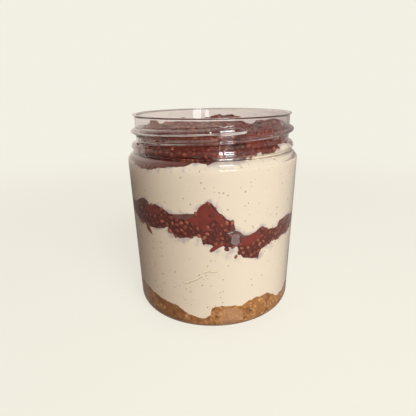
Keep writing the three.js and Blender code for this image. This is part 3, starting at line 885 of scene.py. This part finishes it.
def heap_side_seeds():
    """Seeds in the heap's side, fewer under the thread and in the smooth patch."""
    rng = np.random.default_rng(2)
    azimuth = rng.uniform(0, 360, CANDIDATES)
    low = edge_height(CREAM_TOP_EDGE, azimuth)
    height = low + 0.1 + (heap_rim(azimuth)[1] - low) * rng.uniform(0, 1, CANDIDATES)
    smooth = in_outline(on_wall(azimuth, height), HEAP_PATCH)
    chance = rng.uniform(0, 1, CANDIDATES)
    open_view = (smooth < 0.3) & (thread_rise(azimuth, height) < 0.5)
    off_shoulder = (height < SHOULDER_TURN[0]) | (height > SHOULDER_TURN[1])
    kept = ((chance < SHELTERED_CHANCE) | open_view) & off_shoulder
    azimuth, height = azimuth[kept], height[kept]
    radius = heap_side_radius(azimuth, height)
    relief = heap_relief(polar(radius, azimuth, height))
    radius = radius + relief * smoothstep(LUMPS_FROM, LUMPS_FULL, height) + SEED_PROUD
    depth = SEED_DEPTH + SHOULDER_SINK * smoothstep(74.0, 72.0, height)
    radius = np.minimum(radius, wall_radius(height, depth)) - SEED_THICKNESS / 2
    points = polar(radius, azimuth, height)
    return spaced(HEAP_SIDE_SEEDS, points, polar(1.0, azimuth, height * 0))


def heap_top_seeds():
    """Seeds on the heap's top, turned to its slope."""
    rng = np.random.default_rng(3)
    azimuth = rng.uniform(0, 360, CANDIDATES)
    reach = heap_rim(azimuth)[0] * np.sqrt(rng.uniform(0, 0.93, CANDIDATES))
    place = polar(reach, azimuth, 0.0)[:, :2]
    step = 0.4

    def surface(shift_x, shift_y):
        x, y = place[:, 0] + shift_x, place[:, 1] + shift_y
        base = heap_height(x, y)
        return base + heap_relief(np.column_stack((x, y, base)))

    here = surface(0, 0)
    slope_x = (surface(step, 0) - here) / step
    slope_y = (surface(0, step) - here) / step
    outward = np.column_stack((-slope_x, -slope_y, np.ones(CANDIDATES)))
    outward = outward / np.linalg.norm(outward, axis=1)[:, None]
    return spaced(HEAP_TOP_SEEDS, np.column_stack((place, here - 0.15)), outward)


def seed_tree():
    """Geometry nodes that lay one seed on each point, turned to its outward direction."""
    tree = bpy.data.node_groups.new("seeds_on_points", "GeometryNodeTree")
    face = tree.interface
    face.new_socket("Points", in_out="INPUT", socket_type="NodeSocketGeometry")
    for name in ("Length", "Width", "Thickness"):
        face.new_socket(name, in_out="INPUT", socket_type="NodeSocketFloat")
    face.new_socket("Draw", in_out="INPUT", socket_type="NodeSocketInt")
    face.new_socket("Material", in_out="INPUT", socket_type="NodeSocketMaterial")
    face.new_socket("Seeds", in_out="OUTPUT", socket_type="NodeSocketGeometry")
    given = tree.nodes.new("NodeGroupInput").outputs

    sphere = add(tree, "GeometryNodeMeshUVSphere", {"Segments": 10, "Rings": 6, "Radius": 0.5})
    place = add(tree, "GeometryNodeInputPosition")
    upright = add(tree, "ShaderNodeSeparateXYZ", {0: place.outputs[0]})
    crown = add(
        tree, "GeometryNodeStoreNamedAttribute",
        {"Geometry": sphere.outputs["Mesh"], "Name": "crown", "Value": upright.outputs["Z"]},
        data_type="FLOAT", domain="POINT",
    )
    smooth = add(tree, "GeometryNodeSetShadeSmooth", {"Geometry": crown.outputs[0]})

    def drawn(low, high, offset):
        """A chance number for each seed, from the Draw input and an offset."""
        number = maths(tree, "ADD", given["Draw"], float(offset))
        return add(
            tree, "FunctionNodeRandomValue", {2: low, 3: high, "Seed": number}, data_type="FLOAT",
        ).outputs[1]

    turn = add(
        tree, "FunctionNodeAxisAngleToRotation",
        {"Axis": (0.0, 0.0, 1.0), "Angle": drawn(0.0, math.pi, 1)},
    )
    outward = add(
        tree, "GeometryNodeInputNamedAttribute", {"Name": "outward"}, data_type="FLOAT_VECTOR",
    )
    align = add(
        tree, "FunctionNodeAlignRotationToVector",
        {"Rotation": turn.outputs[0], "Vector": outward.outputs[0]}, axis="Z",
    )
    sizes = add(
        tree, "ShaderNodeCombineXYZ",
        {0: given["Length"], 1: given["Width"], 2: given["Thickness"]},
    )
    scaled = add(
        tree, "ShaderNodeVectorMath",
        {0: sizes.outputs[0], "Scale": drawn(0.78, 1.12, 2)}, operation="SCALE",
    )
    laid = add(
        tree, "GeometryNodeInstanceOnPoints",
        {
            "Points": given["Points"],
            "Instance": smooth.outputs[0],
            "Rotation": align.outputs[0],
            "Scale": scaled.outputs[0],
        },
    )
    tinted = add(
        tree, "GeometryNodeStoreNamedAttribute",
        {"Geometry": laid.outputs[0], "Name": "shade", "Value": drawn(0.0, 1.0, 3)},
        data_type="FLOAT", domain="INSTANCE",
    )
    real = add(tree, "GeometryNodeRealizeInstances", {"Geometry": tinted.outputs[0]})
    finished = add(
        tree, "GeometryNodeSetMaterial",
        {"Geometry": real.outputs[0], "Material": given["Material"]},
    )
    out = tree.nodes.new("NodeGroupOutput")
    tree.links.new(finished.outputs[0], out.inputs["Seeds"])
    return tree


def seed_piece(name, tree, places, draw, material, node):
    """Runs the seed tree on a list of (point, outward) and keeps the result as a mesh."""
    mesh = bpy.data.meshes.new(name + "_points")
    mesh.from_pydata([tuple(point * MM) for point, _ in places], [], [])
    layer = mesh.attributes.new("outward", "FLOAT_VECTOR", "POINT")
    layer.data.foreach_set("vector", np.array([out for _, out in places], np.float32).ravel())
    carrier = placed(name + "_points", mesh)
    modifier = carrier.modifiers.new("seeds", "NODES")
    modifier.node_group = tree
    sizes = {
        "Length": SEED_LENGTH * MM,
        "Width": SEED_WIDTH * MM,
        "Thickness": SEED_THICKNESS * MM,
        "Draw": draw,
        "Material": material,
    }
    for item in tree.interface.items_tree:
        if item.item_type == "SOCKET" and item.name in sizes:
            modifier[item.identifier] = sizes[item.name]
    bpy.context.view_layer.update()
    evaluated = carrier.evaluated_get(bpy.context.evaluated_depsgraph_get())
    seeds = bpy.data.meshes.new_from_object(evaluated)
    seeds.name = name
    carrier.modifiers.remove(modifier)
    bpy.data.objects.remove(carrier)
    bpy.data.meshes.remove(mesh)
    return mounted(placed(name, seeds), node)


def tail(name, points, radii, material):
    """A run of jelly down the wall: a flattened tube, thick where its radius is large."""
    steps, around = 30, 12
    share = np.linspace(0, 1, steps)
    knots = np.linspace(0, 1, len(points))
    u = np.radians(np.interp(share, knots, [point[0] for point in points])) * BODY_R
    height = np.interp(share, knots, [point[1] for point in points])
    girth = np.interp(share, knots, radii) * np.sqrt(np.sin(np.pi * (0.06 + 0.9 * share)))
    direction = np.stack((np.gradient(u), np.gradient(height)), axis=1)
    direction = direction / np.linalg.norm(direction, axis=1)[:, None]
    turn = np.linspace(0, 2 * np.pi, around, endpoint=False)
    rings = []
    for k in range(steps):
        side = girth[k] * np.cos(turn)
        ring_u = u[k] - direction[k, 1] * side
        ring_z = height[k] + direction[k, 0] * side
        radius = wall_radius(ring_z, COMPOTE_DEPTH) - 0.05 + 0.45 * girth[k] * np.sin(turn)
        rings.append(polar(radius, np.degrees(ring_u / BODY_R), ring_z))
    vertices = np.array(rings).reshape(-1, 3)
    faces = ring_quads(steps, around)
    faces.append(list(reversed(range(around))))
    faces.append(list(range((steps - 1) * around, steps * around)))
    ones = np.ones(len(vertices))
    return piece(name, vertices, faces, material, "berry_layer", "compote", pressed=ones)


# Shader building
def add(tree, kind, inputs=None, **settings):
    """A new node with its settings, and its inputs given as values or as other sockets."""
    node = tree.nodes.new(kind)
    for name, value in settings.items():
        setattr(node, name, value)
    for name, value in (inputs or {}).items():
        if isinstance(value, bpy.types.NodeSocket):
            tree.links.new(value, node.inputs[name])
        else:
            node.inputs[name].default_value = value
    return node


def mixed(tree, factor, first, second):
    """Colour between two, by a factor."""
    node = add(tree, "ShaderNodeMix", {0: factor, 6: first, 7: second}, data_type="RGBA")
    return node.outputs[2]


def ranged(tree, value, from_low, from_high, to_low=0.0, to_high=1.0):
    """A value carried from one range to another, smoothly and clamped."""
    node = add(
        tree, "ShaderNodeMapRange", {0: value, 1: from_low, 2: from_high, 3: to_low, 4: to_high},
        interpolation_type="SMOOTHSTEP",
    )
    return node.outputs[0]


def attribute(tree, name):
    """A number that the mesh carries at each vertex."""
    return add(tree, "ShaderNodeAttribute", attribute_name=name).outputs["Fac"]


def painted(tree, colour, *coats):
    """A colour under coats of (mask, tint, share, low, high). Each tints what lies under it
    by up to its share, as its mask goes from its low to its high value."""
    for mask, tint, share, low, high in coats:
        factor = ranged(tree, mask, low, high, 0.0, share)
        colour = mixed(tree, factor, colour, (*tint, 1))
    return colour


def maths(tree, operation, first, second, **settings):
    """The result of one sum on two values."""
    node = add(tree, "ShaderNodeMath", {0: first, 1: second}, operation=operation, **settings)
    return node.outputs[0]


def shader_mix(tree, factor, first, second):
    """A mix of two shaders, which stays in the material itself."""
    return add(tree, "ShaderNodeMixShader", {0: factor, 1: first, 2: second}).outputs[0]


def shader_group(name, inputs, outputs):
    """An empty shader group with float inputs {name: default} and float outputs."""
    tree = bpy.data.node_groups.new(name, "ShaderNodeTree")
    for label, value in inputs.items():
        socket = tree.interface.new_socket(label, in_out="INPUT", socket_type="NodeSocketFloat")
        socket.default_value = value
    for label in outputs:
        tree.interface.new_socket(label, in_out="OUTPUT", socket_type="NodeSocketFloat")
    given, made = tree.nodes.new("NodeGroupInput"), tree.nodes.new("NodeGroupOutput")
    return tree, given.outputs, made.inputs


def object_scaled(tree, millimetres):
    """Object coordinates in units of a given number of millimetres."""
    place = add(tree, "ShaderNodeTexCoord").outputs["Object"]
    rate = maths(tree, "DIVIDE", 1 / MM, millimetres)
    scaled = add(tree, "ShaderNodeVectorMath", {0: place, "Scale": rate}, operation="SCALE")
    return scaled.outputs[0]


def clouds_group():
    """Soft blotches: Size in millimetres, and Contrast about the middle."""
    tree, given, made = shader_group("clouds", {"Size": 5.0, "Contrast": 1.0}, ("Tone",))
    blotch = add(
        tree, "ShaderNodeTexNoise",
        {
            "Vector": object_scaled(tree, given["Size"]), "Scale": 1.0, "Detail": 3.0,
            "Roughness": 0.55,
        },
    )
    off = maths(tree, "SUBTRACT", blotch.outputs[0], 0.5)
    held = maths(tree, "MULTIPLY", off, given["Contrast"])
    tone = maths(tree, "ADD", held, 0.5, use_clamp=True)
    tree.links.new(tone, made["Tone"])
    return tree


def specks_group():
    """Scattered specks: Spacing and Size in millimetres, and the Share of places that have one."""
    tree, given, made = shader_group(
        "specks", {"Spacing": 4.0, "Size": 0.3, "Share": 0.4}, ("Mask", "Pick"),
    )
    place = object_scaled(tree, given["Spacing"])
    cells = add(tree, "ShaderNodeTexVoronoi", {"Vector": place, "Scale": 1.0})
    pick = add(tree, "ShaderNodeSeparateColor", {0: cells.outputs["Color"]})
    reach = maths(tree, "DIVIDE", given["Size"], given["Spacing"])
    reach = maths(tree, "MULTIPLY", reach, maths(tree, "ADD", pick.outputs[1], 0.35))
    near = maths(tree, "SUBTRACT", reach, cells.outputs["Distance"])
    spot = ranged(tree, maths(tree, "DIVIDE", near, reach), 0.0, 0.45)
    chosen = maths(tree, "LESS_THAN", pick.outputs[0], given["Share"])
    tree.links.new(maths(tree, "MULTIPLY", spot, chosen), made["Mask"])
    tree.links.new(pick.outputs[2], made["Pick"])
    return tree


def use_group(tree, group, **inputs):
    """Outputs of a shader group with its inputs set."""
    node = tree.nodes.new("ShaderNodeGroup")
    node.node_tree = group
    for name, value in inputs.items():
        node.inputs[name].default_value = value
    return node.outputs


def blank_material(name, looks):
    """A material with one Principled surface, and values set on its own sockets."""
    material = bpy.data.materials.new(name)
    material.use_nodes = True
    tree = material.node_tree
    tree.nodes.clear()
    surface = add(tree, "ShaderNodeBsdfPrincipled", looks)
    out = tree.nodes.new("ShaderNodeOutputMaterial")
    tree.links.new(surface.outputs[0], out.inputs["Surface"])
    return material, tree, surface, out


def roughened(tree, surface, height, strength):
    """Low relief on a surface, from a height."""
    looks = {"Strength": strength, "Distance": 0.0003, "Height": height}
    bump = add(tree, "ShaderNodeBump", looks)
    tree.links.new(bump.outputs[0], surface.inputs["Normal"])


def clear_plastic():
    """Clear plastic, a little grey in its depth. Light for the filling passes it unbent."""
    material, tree, surface, out = blank_material("clear_plastic", {
        "Base Color": (1, 1, 1, 1), "Transmission Weight": 1.0, "IOR": 1.5, "Roughness": 0.0,
        "Coat Weight": 0.8, "Coat IOR": 1.57, "Coat Roughness": 0.03,
    })
    clear = add(tree, "ShaderNodeBsdfTransparent", {"Color": (0.97, 0.97, 0.97, 1)})
    path = add(tree, "ShaderNodeLightPath").outputs
    passing = maths(tree, "MAXIMUM", path["Is Shadow Ray"], path["Is Diffuse Ray"])
    both = shader_mix(tree, passing, surface.outputs[0], clear.outputs[0])
    tree.links.new(both, out.inputs["Surface"])
    grey = {"Color": (0.62, 0.50, 0.46, 1), "Density": 55.0}
    depth = add(tree, "ShaderNodeVolumeAbsorption", grey)
    tree.links.new(depth.outputs[0], out.inputs["Volume"])
    return material


def cream(clouds, specks):
    """Pale set cream: juice at its edges, creases painted with highlight and shadow, fine specks.
    """
    looks = {"Roughness": 0.55, "Specular IOR Level": 0.2}
    material, tree, surface, _ = blank_material("set_cream", looks)
    tone = use_group(tree, clouds, Size=14.0, Contrast=1.1)["Tone"]
    fine = use_group(tree, clouds, Size=1.6, Contrast=0.9)["Tone"]
    bleed, crease, dent = [attribute(tree, name) for name in ("bleed", "crease", "dent")]
    brown = use_group(tree, specks, Spacing=1.7, Size=0.36, Share=0.5)["Mask"]
    dark = use_group(tree, specks, Spacing=3.2, Size=0.40, Share=0.4)["Mask"]
    colour = mixed(tree, tone, (0.865, 0.760, 0.582, 1), (0.895, 0.790, 0.612, 1))
    colour = painted(
        tree, colour,
        (fine, (0.76, 0.62, 0.44), 0.08, 0.35, 0.75),
        (bleed, (0.50, 0.41, 0.41), 0.72, 0.1, 1.1),
        # Painted shade at the creases' sides, a painted highlight along them, and a painted shadow
        # over them
        (crease, (0.62, 0.45, 0.28), 0.35, 0.05, 0.3),
        (crease, (0.97, 0.87, 0.63), 1.0, 0.35, 0.8),
        (dent, (0.52, 0.37, 0.23), 0.6, 0.15, 0.9),
        (brown, (0.42, 0.24, 0.12), 0.7, 0.0, 1.0),
        (dark, (0.16, 0.11, 0.085), 0.85, 0.0, 1.0),
    )
    tree.links.new(colour, surface.inputs["Base Color"])
    return material


def biscuit(clouds, specks):
    """Brown crumb, mottled and baked unevenly, with pale and dark bits and a smear of fat."""
    looks = {"Roughness": 0.85, "Specular IOR Level": 0.25}
    material, tree, surface, _ = blank_material("biscuit_crumb", looks)
    coarse = use_group(tree, clouds, Size=5.0, Contrast=2.4)["Tone"]
    fine = use_group(tree, clouds, Size=1.1, Contrast=2.6)["Tone"]
    crumb = use_group(tree, specks, Spacing=1.2, Size=1.0, Share=0.9)["Pick"]
    clump = use_group(tree, specks, Spacing=3.7, Size=2.1, Share=0.45)["Mask"]
    pale = use_group(tree, specks, Spacing=1.9, Size=0.8, Share=0.5)["Mask"]
    dark = use_group(tree, specks, Spacing=3.0, Size=0.8, Share=0.4)["Mask"]
    toast, smear = attribute(tree, "toast"), attribute(tree, "smear")
    colour = mixed(tree, coarse, (0.38, 0.152, 0.036, 1), (0.58, 0.265, 0.073, 1))
    colour = painted(
        tree, colour,
        (fine, (0.27, 0.11, 0.035), 0.7, 0.3, 0.8),
        (crumb, (0.74, 0.39, 0.135), 0.5, 0.55, 1.0),
        (crumb, (0.20, 0.075, 0.02), 0.5, 0.3, 0.0),
        (toast, (0.26, 0.092, 0.018), 0.7, 0.0, 1.0),
        (clump, (0.20, 0.078, 0.024), 0.6, 0.0, 1.0),
        (pale, (0.84, 0.52, 0.24), 0.55, 0.0, 1.0),
        (toast, (0.74, 0.48, 0.28), 0.5, 0.0, -1.0),
        (dark, (0.09, 0.035, 0.013), 0.75, 0.0, 1.0),
        (smear, (0.53, 0.290, 0.155), 0.55, 0.0, 1.0),
    )
    tree.links.new(colour, surface.inputs["Base Color"])
    roughened(tree, surface, fine, 0.7)
    return material


def jelly(clouds):
    """Dark red berry jelly: redder where pressed smooth, with the air pocket's marks, among them
    painted shade and glints.
    """
    material, tree, surface, _ = blank_material("compote_jelly", {
        "Roughness": 0.3, "Specular IOR Level": 0.22, "Coat Weight": 0.08, "Coat Roughness": 0.1,
    })
    coarse = use_group(tree, clouds, Size=3.2, Contrast=2.0)["Tone"]
    fine = use_group(tree, clouds, Size=0.8, Contrast=2.0)["Tone"]
    film = ranged(tree, attribute(tree, "film"), 0.0, 1.0, 0.0, 0.7)
    pocket = ranged(tree, attribute(tree, "pocket"), 0.0, 1.0, 0.0, 0.9)
    smooth = mixed(tree, coarse, (0.185, 0.028, 0.019, 1), (0.235, 0.040, 0.026, 1))
    wet = mixed(tree, coarse, (0.10, 0.040, 0.030, 1), (0.21, 0.145, 0.118, 1))
    hollow = mixed(tree, coarse, (0.19, 0.125, 0.115, 1), (0.40, 0.30, 0.29, 1))
    colour = mixed(tree, coarse, (0.095, 0.018, 0.012, 1), (0.20, 0.036, 0.021, 1))
    colour = painted(tree, colour, (fine, (0.05, 0.012, 0.01), 0.6, 0.35, 0.8))
    colour = mixed(tree, attribute(tree, "pressed"), colour, smooth)
    colour = mixed(tree, film, colour, wet)
    colour = mixed(tree, pocket, colour, hollow)
    # Painted shade in and beside the air pocket, and painted glints on its film
    colour = painted(
        tree, colour,
        (attribute(tree, "shade"), (0.055, 0.026, 0.018), 0.75, 0.0, 1.0),
        (attribute(tree, "glint"), (0.80, 0.78, 0.76), 1.0, 0.3, 0.9),
    )
    tree.links.new(colour, surface.inputs["Base Color"])
    roughened(tree, surface, fine, 0.35)
    return material


def seed_skin(clouds):
    """Seeds under a film of jelly: pale brown-red on the crown, dark red round the rim."""
    material, tree, surface, _ = blank_material("compote_seed", {
        "Roughness": 0.3, "Specular IOR Level": 0.3, "Coat Weight": 0.12, "Coat Roughness": 0.08,
    })
    shade = attribute(tree, "shade")
    crown = ranged(tree, attribute(tree, "crown"), 0.18, 0.44)
    fine = use_group(tree, clouds, Size=0.5, Contrast=1.6)["Tone"]
    body = painted(
        tree, (0.15, 0.028, 0.017, 1),
        (shade, (0.30, 0.072, 0.036), 1.0, 0.0, 0.75),
        (shade, (0.48, 0.150, 0.080), 1.0, 0.7, 1.0),
        (fine, (0.13, 0.03, 0.02), 0.35, 0.4, 0.8),
    )
    colour = mixed(tree, crown, (0.060, 0.012, 0.008, 1), body)
    tree.links.new(colour, surface.inputs["Base Color"])
    return material


# Camera at the photograph's angle
CAMERA_BACK = 172.96
CAMERA_HEIGHT = 97.46
CAMERA_PITCH = 27.643
CAMERA_ROLL = -0.764
FOCAL_PIXELS = 371.591
PHOTO_PIXELS = 416
CENTRE_PIXEL = (214.195, 279.193)
SENSOR = 36.0


def camera():
    """The camera that was fitted to the jar's outlines in the photograph."""
    data = bpy.data.cameras.new("photo_camera")
    data.sensor_width = SENSOR
    data.lens = FOCAL_PIXELS / PHOTO_PIXELS * SENSOR
    data.shift_x = (PHOTO_PIXELS / 2 - CENTRE_PIXEL[0]) / PHOTO_PIXELS
    data.shift_y = (CENTRE_PIXEL[1] - PHOTO_PIXELS / 2) / PHOTO_PIXELS
    data.clip_start = 0.005
    data.clip_end = 20
    made = placed("photo_camera", data)
    made.matrix_world = (
        Matrix.Translation((0, -CAMERA_BACK * MM, CAMERA_HEIGHT * MM))
        @ Matrix.Rotation(math.radians(90 - CAMERA_PITCH), 4, "X")
        @ Matrix.Rotation(math.radians(CAMERA_ROLL), 4, "Z")
    )
    bpy.context.scene.camera = made


# Studio, with lengths in metres
BACKDROP = (0.893, 0.874, 0.775, 1)
ROOM_BEHIND = (0.80, 0.70, 0.615, 1)
ROOM_RIGHT = (0.44, 0.36, 0.335, 1)
FLOOR_REACH = 6.0
FLOOR_FADE = (0.12, 0.5)
FLOOR_GLOW = 0.77
# The soft light: azimuth, elevation, distance, width and height, power, colour
SOFT_KEY = (29, 28, 0.9, (0.5, 0.5), 4.65, (0.98, 1.0, 1.02))
WINDOW_DISTANCE = 1.0
WINDOW_COLOUR = (0.97, 1.0, 1.03)
# Columns of panes (name, azimuth, width), and rows (name, from height, to height, radiance)
WINDOW_COLUMNS = (("left", 12.5, 0.09), ("right", 24.0, 0.25))
WINDOW_ROWS = (("top", 0.62, 1.12, 13.0), ("low", 0.01, 0.56, 1.8))
COLUMNS_BEHIND = (("left", -177.42, 0.024), ("right", -179.15, 0.011))
ROW_BEHIND = (0.0, 0.2, 0.34)


def area_light(name, azimuth, elevation, distance, size, power, colour):
    """A rectangular light that faces the middle of the jar."""
    data = bpy.data.lights.new(name, "AREA")
    data.shape = "RECTANGLE"
    data.size, data.size_y = size
    data.energy = power
    data.color = colour
    made = placed(name, data)
    a, e = math.radians(azimuth), math.radians(elevation)
    toward = Vector((math.sin(a) * math.cos(e), -math.cos(a) * math.cos(e), math.sin(e)))
    made.location = Vector((0, 0, JAR_HEIGHT * MM / 2)) + toward * distance
    made.rotation_euler = toward.to_track_quat("Z", "Y").to_euler()
    return made


def window_pane(name, azimuth, width, low, high, radiance):
    """An upright pane, from one height to another."""
    power = radiance * math.pi * (width * (high - low))
    size = (width, high - low)
    pane = area_light(name, azimuth, 0, WINDOW_DISTANCE, size, power, WINDOW_COLOUR)
    pane.location.z = (low + high) / 2
    return pane


def room_behind(tree, across):
    """The room behind the jar as its plastic shows it: pale, and dimmer at the far right."""
    return mixed(tree, ranged(tree, across, 0.05, 0.35), ROOM_BEHIND, ROOM_RIGHT)


def floor_surface():
    """Pale, with soft shadows near the jar, and farther off the backdrop's own colour.
    Reflections and bounced light meet a dimmer floor that is paler at the right."""
    material = bpy.data.materials.new("pale_floor")
    material.use_nodes = True
    tree = material.node_tree
    tree.nodes.clear()
    place = add(tree, "ShaderNodeTexCoord").outputs["Object"]
    away = add(tree, "ShaderNodeVectorMath", {0: place}, operation="LENGTH").outputs["Value"]
    across = add(tree, "ShaderNodeSeparateXYZ", {0: place}).outputs["X"]
    lit = add(tree, "ShaderNodeBsdfDiffuse", {"Color": (0.25, 0.243, 0.205, 1)}).outputs[0]
    glow = add(tree, "ShaderNodeEmission", {"Color": BACKDROP, "Strength": FLOOR_GLOW})
    near = add(tree, "ShaderNodeAddShader", {0: lit, 1: glow.outputs[0]}).outputs[0]
    plain = add(tree, "ShaderNodeEmission", {"Color": BACKDROP, "Strength": 1.0}).outputs[0]
    seen = shader_mix(tree, ranged(tree, away, *FLOOR_FADE), near, plain)
    right = ranged(tree, across, -0.15, 0.25)
    room = mixed(tree, right, (0.15, 0.130, 0.120, 1), (0.32, 0.28, 0.25, 1))
    room = mixed(tree, ranged(tree, away, 0.25, 0.6), room, room_behind(tree, across))
    right = ranged(tree, across, -0.05, 0.06)
    bounce = mixed(tree, right, (0.33, 0.255, 0.205, 1), (0.78, 0.71, 0.645, 1))
    bounce = painted(tree, bounce, (away, (0.32, 0.27, 0.23), 1.0, 0.05, 0.17))
    path = add(tree, "ShaderNodeLightPath").outputs
    room = mixed(tree, path["Is Diffuse Ray"], room, bounce)
    unseen = add(tree, "ShaderNodeEmission", {"Color": room, "Strength": 1.0}).outputs[0]
    both = shader_mix(tree, path["Is Camera Ray"], unseen, seen)
    out = tree.nodes.new("ShaderNodeOutputMaterial")
    tree.links.new(both, out.inputs["Surface"])
    return material


def floor():
    """The floor that the jar stands on."""
    mesh = bpy.data.meshes.new("pale_floor")
    turns = ((-1, -1), (1, -1), (1, 1), (-1, 1))
    mesh.from_pydata([(x * FLOOR_REACH, y * FLOOR_REACH, 0) for x, y in turns], [], [(0, 1, 2, 3)])
    mesh.materials.append(floor_surface())
    placed("pale_floor", mesh)


def studio_world():
    """The backdrop's colour for the camera. For light and reflections, a room that is pale
    behind the jar and dim in front of it, dimmest at the left."""
    world = bpy.data.worlds.new("studio")
    bpy.context.scene.world = world
    world.use_nodes = True
    tree = world.node_tree
    tree.nodes.clear()
    direction = add(tree, "ShaderNodeTexCoord").outputs["Generated"]
    axes = add(tree, "ShaderNodeSeparateXYZ", {0: direction}).outputs
    behind = ranged(tree, axes["Y"], -0.3, 0.5)
    right = ranged(tree, axes["X"], -0.6, 0.9)
    front = mixed(tree, right, (0.19, 0.125, 0.090, 1), (0.25, 0.205, 0.175, 1))
    fill = mixed(tree, behind, front, (0.38, 0.33, 0.315, 1))
    dim = mixed(tree, right, (0.16, 0.14, 0.13, 1), (0.28, 0.26, 0.25, 1))
    room = mixed(tree, behind, dim, room_behind(tree, axes["X"]))
    path = add(tree, "ShaderNodeLightPath").outputs
    colour = mixed(tree, path["Is Diffuse Ray"], room, fill)
    colour = mixed(tree, path["Is Camera Ray"], colour, BACKDROP)
    ground = add(tree, "ShaderNodeBackground", {"Color": colour, "Strength": 1.0})
    out = tree.nodes.new("ShaderNodeOutputWorld")
    tree.links.new(ground.outputs[0], out.inputs["Surface"])


def build():
    """All pieces of the jar and its filling."""
    clouds = clouds_group()
    specks = specks_group()
    plastic = clear_plastic()
    cream_surface = cream(clouds, specks)
    jelly_surface = jelly(clouds)
    seed_surface = seed_skin(clouds)

    jar_shell(plastic)
    biscuit_fill(biscuit(clouds, specks))
    cream_fill(
        "cream_below", "cream_lower", BISCUIT_EDGE, BAND_LOW_EDGE,
        -HIDDEN_OVERLAP, HIDDEN_OVERLAP, (BAND_LOW_EDGE,), cream_surface,
    )
    cream_fill(
        "cream_above", "cream_upper", BAND_HIGH_EDGE, CREAM_TOP_EDGE,
        -HIDDEN_OVERLAP, HEAP_OVERLAP, (BAND_HIGH_EDGE, CREAM_TOP_EDGE), cream_surface,
    )
    band_fill(jelly_surface)
    heap_fill(jelly_surface)
    for index, (points, radii) in enumerate(TAILS):
        tail("compote_tail_%d" % (index + 1), points, radii, jelly_surface)

    tree = seed_tree()
    seed_piece("band_seeds", tree, band_seeds(), 10, seed_surface, "berry_layer")
    heap_places = heap_side_seeds() + heap_top_seeds()
    seed_piece("heap_seeds", tree, heap_places, 20, seed_surface, "berry_topping")


def light_scene():
    """Floor, room, a soft light that leaves no highlight, and the window that leaves them."""
    floor()
    studio_world()
    key = area_light("soft_key", *SOFT_KEY)
    key.visible_glossy = False
    key.visible_transmission = False
    for column, azimuth, width in WINDOW_COLUMNS:
        for row, *span in WINDOW_ROWS:
            window_pane("window_%s_%s_pane" % (row, column), azimuth, width, *span)
    for column, azimuth, width in COLUMNS_BEHIND:
        pane = window_pane("pane_behind_" + column, azimuth, width, *ROW_BEHIND)
        pane.visible_camera = False
    bpy.context.scene.view_settings.view_transform = "Standard"


camera()
build()
light_scene()
